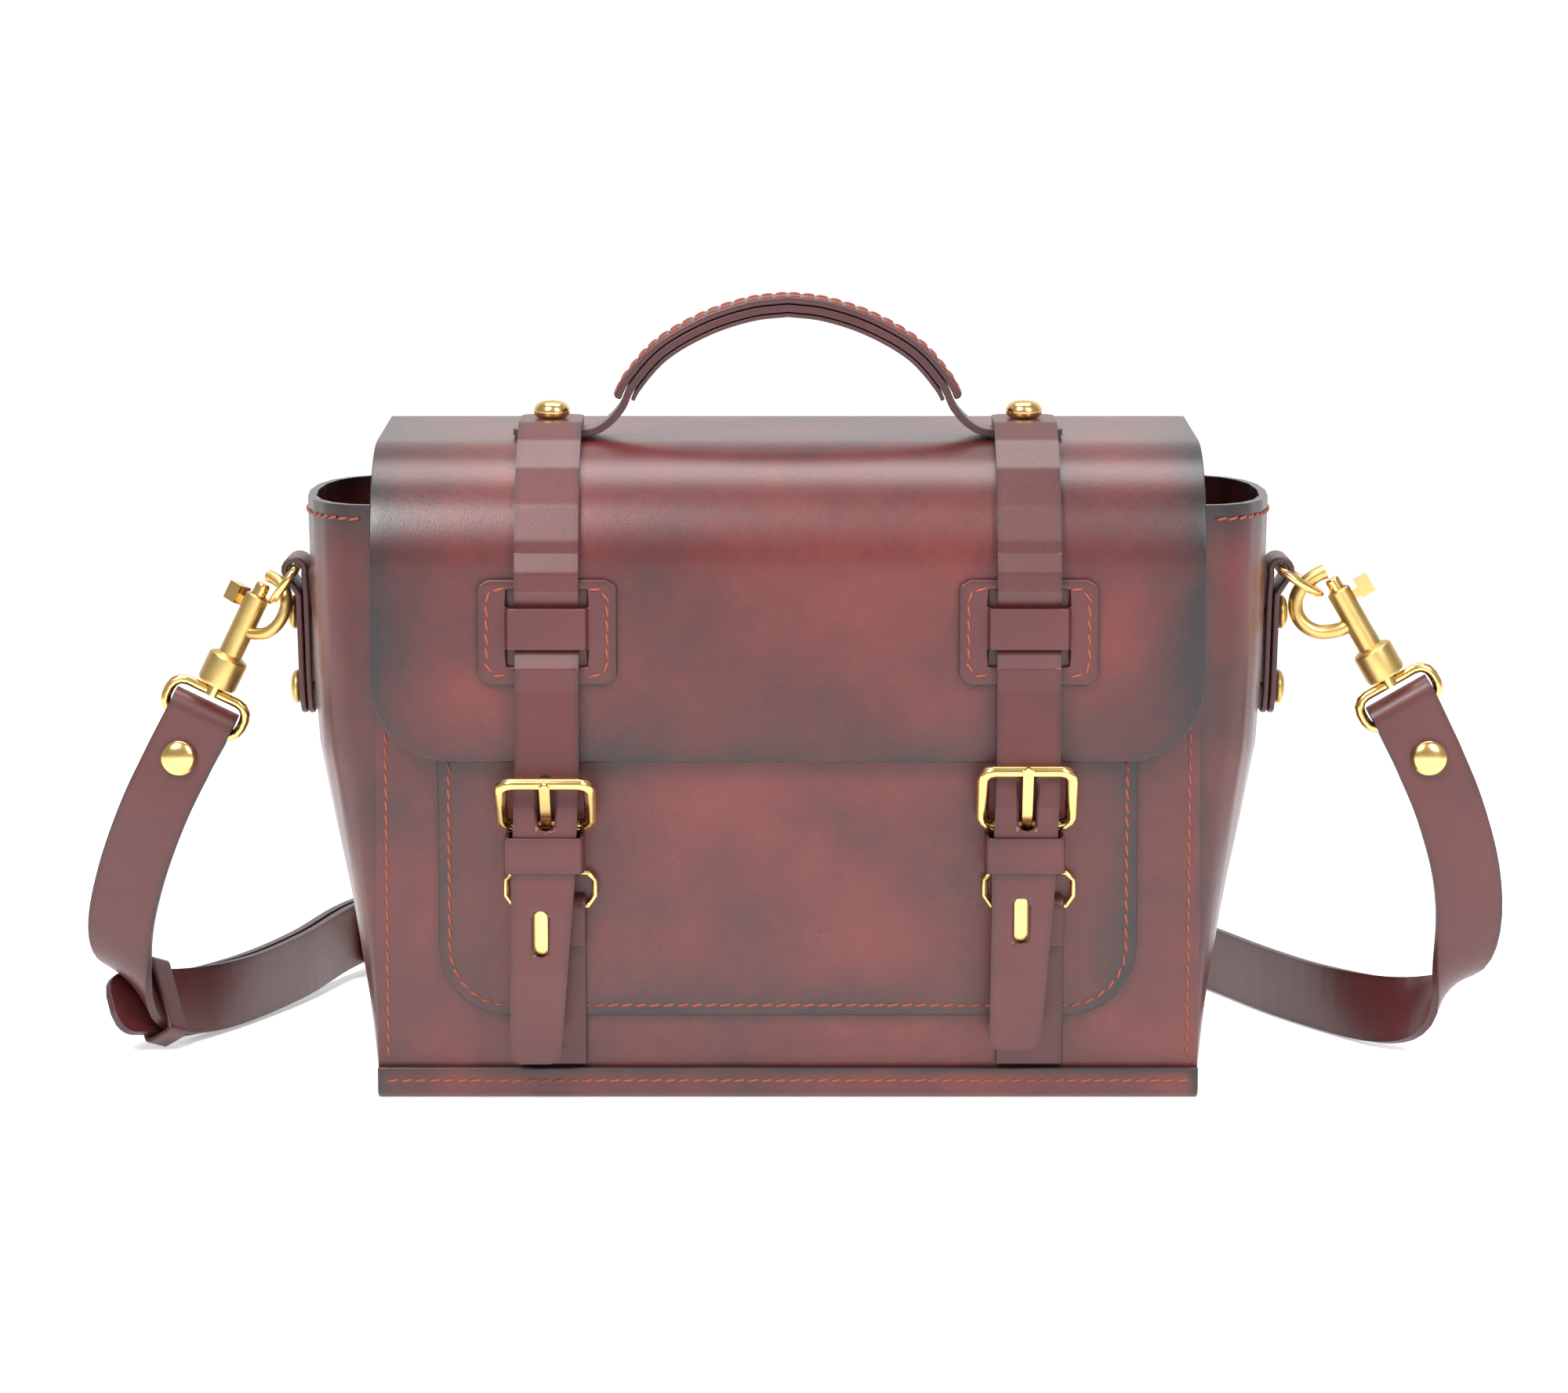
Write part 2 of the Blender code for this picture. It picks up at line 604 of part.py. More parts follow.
def build_ring(side, word):
    drop = math.radians(D_DROP[side])
    out = Vector((side * math.cos(drop), 0, -math.sin(drop)))
    across = Vector((0, 1, 0))
    bar = Vector((side * D_BAR.x, 0, D_BAR.z))
    half, length = 11.4 * MM, D_LENGTH[side]
    points = [bar - across * half * 0.9, bar + across * half * 0.9, bar + across * half + out * 1.5 * MM]
    for i in range(11):
        angle = math.pi * i / 10
        points.append(bar + out * (4 * MM + (length - 4 * MM) * math.sin(angle)) + across * half * math.cos(angle))
    points.append(bar - across * half + out * 1.5 * MM)
    wire(f"d_ring_{word}", points, 1.3 * MM, BRASS, True)


def hook_frame(side):
    """Collar centre, the barrel's direction and the direction of the hook's mouth."""
    tilt = math.radians(BARREL_TILT[side])
    up = Vector((-side * math.sin(tilt), 0, math.cos(tilt)))
    toward = Vector((-side * math.cos(tilt), 0, -math.sin(tilt)))
    turn = math.radians(HOOK_TURN[side])
    mouth = toward * math.cos(turn) - Vector((0, 1, 0)) * math.sin(turn)
    return COLLAR[side], up, toward, mouth


def build_hook(side, word):
    centre, up, toward, mouth = hook_frame(side)
    place = placed(centre, up, mouth)
    body = [(2.6, 25), (3.6, 24.4), (3.6, 5.6), (5.6, 4.6), (6, 4), (6, -3.6), (5.5, -4.5), (2.7, -4.5), (2.7, 1),
            (0, 1)]
    bored = [(0, 6), (2.6, 6)] + body
    hook = to_mesh(turned(f"hook_body_{word}", [(r * MM, h * MM) for r, h in bored], place, BRASS, 14))
    bow = [Vector(p) for p in ((14.2, 2.9), (14.3, 5.5), (16.4, 10.4), (20, 13.3), (24.4, 13.9), (28.4, 12),
                              (30.9, 8.4), (31.6, 4), (31.4, 0.4))]
    points = [centre + up * p.x * MM + mouth * p.y * BOW_REACH[side] * MM for p in smooth(bow, 2)]
    arm = to_mesh(wire(f"bow_{word}", points, BOW_WIRE[side], BRASS))
    boolean(hook, arm, "UNION")
    rail = slab(f"rail_{word}", (-8 * MM, -0.9 * MM, 9 * MM), (-0.5 * MM, 0.9 * MM, 30 * MM), None, CUTTERS)
    rail.data.transform(place)
    boolean(hook, rail)
    bolt = to_mesh(turned(f"hook_bolt_{word}", [(r * MM, h * MM) for r, h in
                                                ((0, 28.8), (1.7, 28.7), (2.2, 28), (2.2, 15), (0, 15))],
                          place, BRASS, 12))
    stem = slab(f"stem_{word}", (-7 * MM, -0.6 * MM, 20 * MM), (-0.8 * MM, 0.6 * MM, 22.5 * MM), None, CUTTERS)
    stem.data.transform(place)
    boolean(bolt, stem, "UNION")
    thumb = slab(f"thumb_{word}", (-9.5 * MM, -2.6 * MM, 19.5 * MM), (-5.2 * MM, 2.6 * MM, 25 * MM), None, CUTTERS)
    thumb.data.transform(place)
    boolean(bolt, thumb, "UNION")
    coil = []
    turns, per_turn = 5, 7
    for i in range(turns * per_turn + 1):
        angle = 2 * math.pi * i / per_turn
        coil.append(place @ Vector((1.8 * MM * math.cos(angle), 1.8 * MM * math.sin(angle),
                                    (6.8 + 7.4 * i / (turns * per_turn)) * MM)))
    wire(f"hook_spring_{word}", coil, 0.35 * MM, STEEL, sides=1)
    stem_profile = [(0, 0.2), (2.2, 0.2), (2.2, -8), (0, -8)]
    eye = to_mesh(turned(f"swivel_eye_{word}", [(r * MM, h * MM) for r, h in stem_profile],
                         placed(centre, up, toward), BRASS, 12))
    loop = []
    for sx, sz, start in ((1, -1, -90), (1, 1, 0), (-1, 1, 90), (-1, -1, 180)):
        for i in range(4):
            angle = math.radians(start + 30 * i)
            loop.append(centre + toward * (sx * 8 + 4 * math.cos(angle)) * MM
                        + up * (4 * MM - EYE_BAR + (1 + sz) * 1.2 * MM + 4 * MM * math.sin(angle)))
    ring = to_mesh(wire(f"eye_wire_{word}", loop, 1.5 * MM, BRASS, True))
    boolean(eye, ring, "UNION")


# Shoulder strap: hand-set route of the leather's middle, and the direction from its outer to its inner edge,
# which turns to point down where the strap stands on the table

DOWN = (0, 0, -1)
ROUTE_RIGHT = (
    ((188.0, -3.6, 91.5), (-0.90, 0.00, -0.44)), ((194.5, -3.6, 76), (-0.90, 0.00, -0.40)),
    ((199.8, -2.5, 57), (-0.90, -0.06, -0.38)), ((201.0, 0.0, 39), (-0.86, -0.14, -0.45)),
    ((197.5, 4.0, 24), (-0.72, -0.28, -0.62)), ((189.5, 11.0, 14.5), (-0.46, -0.30, -0.82)),
    ((178.5, 22.0, 11.0), (-0.22, -0.14, -0.95)), ((163.0, 44.0, 10.4), DOWN), ((148.0, 74.0, 10.4), DOWN),
    ((132.0, 114.0, 10.4), DOWN), ((110.0, 158.0, 10.4), DOWN), ((78.0, 196.0, 10.4), DOWN),
    ((34.0, 221.0, 10.6), DOWN), ((-14.0, 230.0, 11.8), DOWN), ((-56.0, 222.0, 13.8), DOWN),
)
ROUTE_LEFT = (
    ((-178.5, -3.6, 91.5), (0.90, 0.00, -0.44)), ((-186.5, -3.6, 75), (0.90, 0.00, -0.40)),
    ((-193.5, -2.0, 56), (0.90, -0.06, -0.38)), ((-197.5, 2.0, 38), (0.86, -0.14, -0.45)),
    ((-196.0, 8.0, 24.5), (0.72, -0.28, -0.62)), ((-189.5, 18.0, 15.5), (0.46, -0.30, -0.82)),
    ((-179.0, 33.0, 11.6), (0.22, -0.14, -0.95)), ((-165.0, 56.0, 11), DOWN), ((-151.0, 91.0, 12), DOWN),
    ((-138.0, 132.0, 14.2), DOWN), ((-118.0, 172.0, 14.8), DOWN),
)
def route(stations, steps):
    """Smoothed centres, width directions and face normals along a route."""
    centres = smooth([Vector(p) * MM for p, _ in stations], steps)
    sides = smooth([Vector(s) for _, s in stations], steps)
    normals = []
    for i, side in enumerate(sides):
        along = (centres[min(i + 1, len(centres) - 1)] - centres[max(i - 1, 0)]).normalized()
        sides[i] = (side - along * side.dot(along)).normalized()
        normals.append(along.cross(sides[i]))
    return centres, sides, normals


def ring_fold(side, centres):
    """Points of a strap's end from behind the stud, up and over the eye's lower bar."""
    collar, up, toward, _ = hook_frame(side)
    bar = collar - up * EYE_BAR
    back = Vector((0, 1, 0))
    rise = bar - centres[0]
    rise = Vector((rise.x, 0, rise.z)).normalized()
    tail = centres[0] + back * LAYER
    fold = [tail + (centres[1] - centres[0]).normalized() * 8 * MM, tail,
            tail + rise * 3 * MM, tail + rise * 7.2 * MM + back * 4.2 * MM]
    for i in range(7):
        angle = math.pi * i / 6
        fold.append(bar + back * 3.7 * MM * math.cos(angle) + up * (2.6 + 3.7 * math.sin(angle)) * MM)
    return fold, [toward] * len(fold)


def back_from_end(centres, normals, distance):
    """The point and normal this far back along a route from its end."""
    for i in range(len(centres) - 1, 0, -1):
        step = (centres[i] - centres[i - 1]).length
        if distance <= step:
            share = distance / step
            return centres[i].lerp(centres[i - 1], share), normals[i].lerp(normals[i - 1], share)
        distance -= step
    return centres[0], normals[0]


def build_shoulder():
    down = Vector(DOWN)
    left, left_sides, left_normals = route(ROUTE_LEFT, 3)
    right, right_sides, _ = route(ROUTE_RIGHT, 2)
    along = (left[-1] - left[-2]).normalized()
    out = left_normals[-1]
    pivot = left[-1] - out * 3.3 * MM
    fold = [pivot + (out * math.cos(math.pi * i / 6) + along * math.sin(math.pi * i / 6)) * 3.3 * MM
            for i in range(1, 7)]
    for distance, lift in ((4, 6.0), (8, 4.2), (12, 3.1), (17, 2.75), (24, 2.7), (32, 2.7), (40, 2.7), (46, 2.7)):
        point, normal = back_from_end(left, left_normals, distance * MM)
        fold.append(point - normal * lift * MM)
    start, start_sides = ring_fold(-1, left)
    short = ribbon("shoulder_strap_short", start + left + fold, start_sides + left_sides + [down] * len(fold),
                   SHOULDER, SHOULDER_THICK, STRAP_LEATHER, (4 * MM, 6 * MM), (-1, 0, 1))
    through = [pivot + along * a * MM + out * o * MM for a, o in ((26, -1.5), (17, 1.5), (9, 4.9), (3, 6.6))]
    bend = 15  # the tail leaves the short strap where that turns up
    tail = [left[i] + left_normals[i] * (LAYER + 0.9 * MM) for i in range(len(left) - 1, bend, -1)]
    last = (tail[-1] - tail[-2]).normalized()
    away = left_normals[bend + 1] * MM
    tail += [tail[-1] + last * 7 * MM + away * 0.5, tail[-1] + last * 17 * MM + away * 2]
    tail_sides = [left_sides[i] for i in range(len(left) - 1, bend, -1)] + [left_sides[bend + 1]] * 2
    start, start_sides = ring_fold(1, right)
    long = ribbon("shoulder_strap_long", start + right + through + tail,
                  start_sides + right_sides + [down] * len(through) + tail_sides, SHOULDER, SHOULDER_THICK,
                  STRAP_LEATHER, (4 * MM, 7 * MM), (-1, 0, 1))
    build_strap_buckle(pivot, along, out)
    k = bend + 1
    middle = left[k] + left_normals[k] * LAYER / 2
    forward = (left[k + 1] - left[k - 1]).normalized()
    across, thick = SHOULDER / 2 + 2.2 * MM, LAYER + 1.9 * MM
    band = filleted([(0, thick), (across, thick), (across, -thick), (-across, -thick), (-across, thick), (0, thick)],
                    [1.5 * MM] * 4, 3)[:-1]
    rows = [[middle + forward * s * MM + left_sides[k] * p.x + left_normals[k] * p.y for p in band]
            for s in (-4, 4)]
    shell("shoulder_keeper", rows, 1.4 * MM, STRAP_LEATHER, closed=True)
    front = Vector((0, -1, 0))
    for word, centre, strap in (("left", left[0], short), ("right", right[0], long)):
        shoulder_stud(f"shoulder_stud_{word}", centre, front, True, strap)
    point, normal = back_from_end(left, left_normals, 38 * MM)
    shoulder_stud("shoulder_stud_back", point - normal * LAYER, -normal, False, short)


def shoulder_stud(name, layer, direction, capped, strap):
    """Domed stud through two layers; layer is the middle of the layer under the dome."""
    seat = layer + direction.normalized() * (SHOULDER_THICK / 2 + GAP)
    profile = [(r * MM, h * 0.62 * MM) for r, h in STUD]
    depth = -(2 * LAYER + GAP) if capped else -(2 * LAYER - 0.6 * MM)
    profile += [(1.4 * MM, depth)]
    if capped:
        profile += [(2.6 * MM, depth), (2.6 * MM, depth - 0.8 * MM), (0, depth - 0.8 * MM)]
    else:
        profile += [(0, depth)]
    turned(name, profile, placed(seat, direction, (0, 0, 1)), BRASS, 10)
    drill(f"hole_{name}", seat, direction, 1.8 * MM, 7 * MM, (strap,))


def build_strap_buckle(pivot, along, out):
    """Adjusting buckle of the shoulder strap, its pivot bar in the short strap's fold."""
    length, wide, corner = 17 * MM, 12.4 * MM, 3 * MM
    lean = math.radians(18)
    forth = along * math.cos(lean) + out * math.sin(lean)
    face = out * math.cos(lean) - along * math.sin(lean)
    across = Vector((0, 0, 1))
    ring = []
    for sx, sz, start in ((1, 0, -90), (1, 1, 0), (-1, 1, 90), (-1, 0, 180)):
        for i in range(4):
            angle = math.radians(start + 30 * i)
            reach = (corner if sz == 0 else length - corner) + corner * math.sin(angle)
            ring.append(pivot + across * (sx * (wide - corner) + corner * math.cos(angle)) + forth * reach)
    wire("shoulder_buckle", ring, 1.6 * MM, BRASS, True)


def joint(name, point, nodes, parent=None):
    """An empty on a joint's axis, with the nodes that move there as its children."""
    axis = bpy.data.objects.new(name, None)
    SATCHEL.objects.link(axis)
    axis.location = point
    axis.empty_display_size = 10 * MM
    bpy.context.view_layer.update()
    if parent:
        axis.parent = parent
        axis.matrix_parent_inverse = parent.matrix_world.inverted()
    for node in nodes:
        bpy.data.objects[node].parent = axis
        bpy.data.objects[node].matrix_parent_inverse = axis.matrix_world.inverted()
    bpy.context.view_layer.update()
    return axis


def build_joints():
    """Parents every moving node to an empty on its axis."""
    carried = ["flap", "handle_strap", "handle_grip", "handle_lining"]
    for word in SIDES.values():
        carried += [f"{kind}_{word}" for kind in ("keeper_patch", "closure_strap", "top_stud", "buckle_chape",
                                                  "keeper_loop", "clasp_hook")]
    hinge = joint("flap_hinge", HINGE, carried)
    for side, word in SIDES.items():
        bar = Vector((side * STRAP_X + tail_drift(88 * MM), BAR_Y, BAR_Z))
        tilt = joint(f"buckle_tilt_{word}", bar, [f"buckle_{word}"], hinge)
        joint(f"prong_lift_{word}", bar, [f"prong_{word}"], tilt)
        joint(f"d_ring_swing_{word}", Vector((side * D_BAR.x, 0, D_BAR.z)), [f"d_ring_{word}"])
        swivel = joint(f"hook_swivel_{word}", COLLAR[side], [f"hook_body_{word}", f"hook_spring_{word}"])
        joint(f"bolt_slide_{word}", COLLAR[side], [f"hook_bolt_{word}"], swivel)


def build_all():
    build_body()
    flap = build_flap()
    handle = build_handle()
    for side, word in SIDES.items():
        build_patch(side, word)
        strap = build_closure(side, word)
        build_buckle(side, word)
        build_clasp(side, word)
        build_top_stud(side, word, (strap, handle, flap))
        build_tab(side, word, bpy.data.objects[f"gusset_{word}"])
        build_ring(side, word)
        build_hook(side, word)
    build_shoulder()
    build_joints()


build_all()
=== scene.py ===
"""The finished look of a small structured leather satchel: leather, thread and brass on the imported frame.

Metres, +Z up. +X is the wearer's right in front view, -Y is the front with the buckles, and the origin is
the middle of the flat underside of the base.
"""

import json
import math

import bmesh
import bpy
from mathutils import Matrix, Vector

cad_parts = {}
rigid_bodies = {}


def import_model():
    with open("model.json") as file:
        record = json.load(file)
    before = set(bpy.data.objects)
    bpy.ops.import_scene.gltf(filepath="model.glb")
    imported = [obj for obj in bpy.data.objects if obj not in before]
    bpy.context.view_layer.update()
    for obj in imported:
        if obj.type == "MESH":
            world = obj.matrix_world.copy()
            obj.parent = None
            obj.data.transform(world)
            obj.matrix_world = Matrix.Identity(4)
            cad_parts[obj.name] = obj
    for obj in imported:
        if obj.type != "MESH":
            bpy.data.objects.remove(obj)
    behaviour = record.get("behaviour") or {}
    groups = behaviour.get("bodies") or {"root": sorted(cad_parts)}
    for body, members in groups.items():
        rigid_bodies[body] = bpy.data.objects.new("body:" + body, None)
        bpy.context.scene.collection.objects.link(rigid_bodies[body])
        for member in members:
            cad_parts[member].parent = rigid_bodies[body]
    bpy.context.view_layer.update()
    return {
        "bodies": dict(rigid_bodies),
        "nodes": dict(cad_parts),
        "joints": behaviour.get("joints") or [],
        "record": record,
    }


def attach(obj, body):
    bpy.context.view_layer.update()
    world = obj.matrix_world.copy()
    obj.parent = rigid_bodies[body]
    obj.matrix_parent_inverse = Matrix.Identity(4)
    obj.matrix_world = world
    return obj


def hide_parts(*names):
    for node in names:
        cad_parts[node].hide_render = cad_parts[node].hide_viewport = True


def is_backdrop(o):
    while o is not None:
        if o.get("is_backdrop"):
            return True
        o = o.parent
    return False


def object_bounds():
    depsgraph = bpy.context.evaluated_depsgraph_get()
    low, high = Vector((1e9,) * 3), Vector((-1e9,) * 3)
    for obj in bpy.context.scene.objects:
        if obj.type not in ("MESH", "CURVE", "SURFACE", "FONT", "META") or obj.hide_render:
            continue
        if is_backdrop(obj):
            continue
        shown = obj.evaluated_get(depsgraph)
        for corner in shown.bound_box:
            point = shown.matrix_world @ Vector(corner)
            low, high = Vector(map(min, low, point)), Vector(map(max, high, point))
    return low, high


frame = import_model()

MM = 0.001
GAP = 0.3 * MM  # clearance between pieces that touch

# Body
BODY_HALF = 117.5 * MM
BODY_TOP = 170 * MM
BODY_FRONT = 50 * MM  # outer face of the front and back panels
PANEL = 2.8 * MM
BASE = 3.0 * MM
FLANGE_TOP = 9 * MM
GUSSET = 2.5 * MM
BULGE = ((3, 1), (28, 5), (57, 10.5), (84, 16.5), (105, 20), (130, 21), (168, 22))  # height, bulge in mm

# Front pocket
POCKET_HALF = 99.5 * MM
POCKET_BOTTOM = 24 * MM
POCKET_TOP = 150 * MM
POCKET = 2.2 * MM
POCKET_CORNER = 20 * MM

# Flap
FLAP = 3.0 * MM
FLAP_HALF = 118 * MM
FLAP_FRONT = 56.5 * MM  # middle of the leather, at the front
FLAP_BOTTOM = 98 * MM
FLAP_CORNER = 22 * MM
CROWN_BACK = 188 * MM
CROWN_FRONT = 184 * MM

# Closure straps
STRAP_X = 68 * MM
STRAP = 18 * MM
STRAP_THICK = 2.4 * MM
STUD_Y = -18 * MM
BAR_Y = -58.5 * MM  # pivot bar of the closure buckles
BAR_Z = 80.2 * MM
BUCKLE_WIRE = 1.8 * MM
BUCKLE_HALF = 12.6 * MM
BUCKLE_LENGTH = 18.2 * MM  # pivot bar to top bar
TILT = {-1: 42, 1: 25.4}  # how far each buckle leans forward, degrees
RAISE = {-1: 0.0, 1: 4 * MM}  # how much further each tail is pulled through

# Side hardware
D_BAR = Vector((143.6 * MM, 0, 147.3 * MM))
D_DROP = {-1: 54.7, 1: 33.2}  # D-ring below horizontal, degrees
D_LENGTH = {-1: 12.5 * MM, 1: 14.6 * MM}
COLLAR = {-1: Vector((-165.9, 0, 116.5)) * MM, 1: Vector((173.5, 0, 119)) * MM}
BARREL_TILT = {-1: 25.8, 1: 30}
HOOK_TURN = {-1: 34, 1: 0}  # round the barrel, away from facing the bag
BOW_REACH = {-1: 0.8, 1: 1.0}  # width of each hook's bow against the larger one
BOW_WIRE = {-1: 1.8 * MM, 1: 2.2 * MM}
EYE_BAR = 17.2 * MM  # collar centre to the swivel eye's lower bar

# Shoulder strap
SHOULDER = 20 * MM
SHOULDER_THICK = 2.4 * MM

LAYER = SHOULDER_THICK + GAP

# Handle
HANDLE = 18 * MM
HANDLE_THICK = 2.1 * MM

# Keeper patches: leather, then heights of the edges, the raised bridge and the outer ends of the slots in mm
PATCH = 1.8 * MM
PATCH_TOP = 150.3
PATCH_LOW = 120.3
BRIDGE = (130.6, 142.4)
SLOTS = (125.5, 147.5)

# Studs, rivets and side tabs
# domed head: radius, height
STUD = ((0, 5), (2.6, 4.7), (4.3, 3.9), (5.25, 2.4), (5.1, 0.9), (4.4, 0), (1.4, 0))
TAB = 1.8 * MM
RIVETS = {"upper": 134 * MM, "lower": 112 * MM}

SIDES = {-1: "left", 1: "right"}


FINE = 2
EDGE = 0.55 * MM  # rounding of cut leather edges


# Materials


def node(tree, kind, inputs=(), **settings):
    made = tree.nodes.new(kind)
    for key, value in settings.items():
        setattr(made, key, value)
    for key, value in dict(inputs).items():
        if isinstance(value, bpy.types.NodeSocket):
            tree.links.new(value, made.inputs[key])
        else:
            made.inputs[key].default_value = value
    return made


def ramp(tree, fac, stops):
    made = node(tree, "ShaderNodeValToRGB", {"Fac": fac})
    while len(made.color_ramp.elements) < len(stops):
        made.color_ramp.elements.new(0.5)
    for element, (place, colour) in zip(made.color_ramp.elements, stops):
        element.position = place
        element.color = (*colour, 1)
    return made.outputs["Color"]


def blended(tree, fac, first, second, mode="MIX"):
    made = node(tree, "ShaderNodeMix", data_type="RGBA", blend_type=mode)
    for socket, value in (("Factor_Float", fac), ("A_Color", first), ("B_Color", second)):
        target = next(s for s in made.inputs if s.identifier == socket)
        if isinstance(value, bpy.types.NodeSocket):
            tree.links.new(value, target)
        elif isinstance(value, tuple):
            target.default_value = (*value, 1)
        else:
            target.default_value = value
    return next(s for s in made.outputs if s.identifier == "Result_Color")


def new_material(name):
    made = bpy.data.materials.new(name)
    made.use_nodes = True
    return made, made.node_tree, made.node_tree.nodes["Principled BSDF"]


def leather(name, dark, middle, light, edge, roughness=0.4, burnish=1.0, coat=0.12, grain=0.25):
    """Dyed leather: cloudy colour, fine creased grain, and edges burnished dark by the burn attribute."""
    made, tree, shader = new_material(name)
    place = node(tree, "ShaderNodeTexCoord").outputs["Object"]
    cloud = node(tree, "ShaderNodeTexNoise", {"Vector": place, "Scale": 22, "Detail": 5, "Roughness": 0.6})
    colour = ramp(tree, cloud.outputs["Fac"], ((0.3, dark), (0.52, middle), (0.75, light)))
    fleck = node(tree, "ShaderNodeTexNoise", {"Vector": place, "Scale": 650, "Detail": 4, "Roughness": 0.7})
    patchy = ramp(tree, node(tree, "ShaderNodeTexNoise", {"Vector": place, "Scale": 34,
                                                          "Detail": 3}).outputs["Fac"],
                  ((0.45, (0, 0, 0)), (0.7, (1, 1, 1))))
    spots = ramp(tree, fleck.outputs["Fac"], ((0.52, (0, 0, 0)), (0.62, (0.5, 0.5, 0.5))))
    speck = blended(tree, 1.0, spots, patchy, "MULTIPLY")
    colour = blended(tree, speck, colour, dark)
    burn = node(tree, "ShaderNodeAttribute", attribute_name="burn").outputs["Fac"]
    wander = node(tree, "ShaderNodeTexNoise", {"Vector": place, "Scale": 30, "Detail": 3}).outputs["Fac"]
    shifted = node(tree, "ShaderNodeMath", {0: burn, 1: wander}, operation="MULTIPLY").outputs[0]
    dark_share = ramp(tree, shifted, ((0.06, (0, 0, 0)), (0.5, (burnish,) * 3)))
    colour = blended(tree, dark_share, colour, edge)
    tree.links.new(colour, shader.inputs["Base Color"])
    rough = node(tree, "ShaderNodeMapRange", {"Value": fleck.outputs["Fac"], "To Min": roughness - 0.07,
                                              "To Max": roughness + 0.09})
    tree.links.new(rough.outputs["Result"], shader.inputs["Roughness"])
    cells = node(tree, "ShaderNodeTexVoronoi", {"Vector": place, "Scale": 1100}, feature="DISTANCE_TO_EDGE")
    height = blended(tree, 0.5, cells.outputs["Distance"], fleck.outputs["Fac"])
    bump = node(tree, "ShaderNodeBump", {"Height": height, "Strength": grain, "Distance": 0.0002})
    tree.links.new(bump.outputs["Normal"], shader.inputs["Normal"])
    shader.inputs["Coat Weight"].default_value = coat
    shader.inputs["Coat Roughness"].default_value = 0.3
    shader.inputs["Specular IOR Level"].default_value = 0.55
    return made


def metal(name, colour, roughness, wear):
    made, tree, shader = new_material(name)
    place = node(tree, "ShaderNodeTexCoord").outputs["Object"]
    smudge = node(tree, "ShaderNodeTexNoise", {"Vector": place, "Scale": 140, "Detail": 4})
    tint = ramp(tree, smudge.outputs["Fac"], ((0.35, tuple(c * 0.86 for c in colour)), (0.7, colour)))
    tree.links.new(tint, shader.inputs["Base Color"])
    rough = node(tree, "ShaderNodeMapRange", {"Value": smudge.outputs["Fac"], "To Min": roughness,
                                              "To Max": roughness + wear})
    tree.links.new(rough.outputs["Result"], shader.inputs["Roughness"])
    scratch = node(tree, "ShaderNodeTexNoise", {"Vector": place, "Scale": 1600, "Detail": 2})
    bump = node(tree, "ShaderNodeBump", {"Height": scratch.outputs["Fac"], "Strength": 0.05,
                                         "Distance": 0.0001})
    tree.links.new(bump.outputs["Normal"], shader.inputs["Normal"])
    shader.inputs["Metallic"].default_value = 1.0
    return made


def twisted_thread():
    made, tree, shader = new_material("rust_thread")
    place = node(tree, "ShaderNodeTexCoord").outputs["Object"]
    strands = node(tree, "ShaderNodeTexWave", {"Vector": place, "Scale": 900, "Distortion": 1.5})
    tint = ramp(tree, strands.outputs["Fac"], ((0.2, (0.12, 0.024, 0.013)), (0.8, (0.33, 0.07, 0.035))))
    tree.links.new(tint, shader.inputs["Base Color"])
    shader.inputs["Roughness"].default_value = 0.7
    return made


SATCHEL = bpy.data.collections.new("satchel")
CUTTERS = bpy.data.collections.new("cutters")
bpy.context.scene.collection.children.link(SATCHEL)
bpy.context.scene.collection.children.link(CUTTERS)
BLACKENED = (0.007, 0.0022, 0.003)
LEATHER = leather("burnished_leather", (0.034, 0.004, 0.0045), (0.08, 0.0085, 0.008), (0.125, 0.016,
                                                                                       0.0125), BLACKENED, 0.34,
                  1.0, 0.22)
STRAP_LEATHER = leather("strap_leather", (0.056, 0.009, 0.0095), (0.07, 0.0118, 0.012), (0.086, 0.0155,
                                                                                         0.0155),
                        (0.02, 0.006, 0.007), 0.38, 0.55, 0.08, 0.16)
BRASS = metal("brass", (0.86, 0.58, 0.22), 0.14, 0.12)
SATIN = metal("satin_brass", (0.66, 0.46, 0.17), 0.3, 0.12)
STEEL = metal("spring_steel", (0.55, 0.55, 0.55), 0.25, 0.1)
THREAD = twisted_thread()


def put(obj, mat):
    SATCHEL.objects.link(obj)
    obj.data.materials.append(mat)
    return obj


# Shapes


def smooth(points, steps=4):
    """A Catmull-Rom curve through the points, as a list of vectors."""
    steps *= FINE
    knots = [Vector(p) for p in points]
    knots = [2 * knots[0] - knots[1]] + knots + [2 * knots[-1] - knots[-2]]
    out = []
    for a, b, c, d in zip(knots, knots[1:], knots[2:], knots[3:]):
        for i in range(steps):
            t = i / steps
            out.append(0.5 * (2 * b + (c - a) * t + (2 * a - 5 * b + 4 * c - d) * t * t
                              + (3 * b - a - 3 * c + d) * t ** 3))
    return out + [knots[-2]]


def filleted(points, radii, steps=6):
    """A 2D path whose inner corners are arcs of the given radii."""
    steps *= FINE
    path = [Vector(p) for p in points]
    out = [path[0]]
    for before, corner, after, radius in zip(path, path[1:], path[2:], radii):
        u, v = (before - corner).normalized(), (after - corner).normalized()
        half = u.angle(v) / 2
        reach = radius / math.tan(half)
        centre = corner + (u + v).normalized() * radius / math.sin(half)
        start, end = corner + u * reach - centre, corner + v * reach - centre
        for i in range(steps + 1):
            sweep = start.angle(end)
            weight = (math.sin((1 - i / steps) * sweep), math.sin(i / steps * sweep))
            arm = (start * weight[0] + end * weight[1]) / math.sin(sweep)
            out.append(centre + arm)
    return out + [path[-1]]


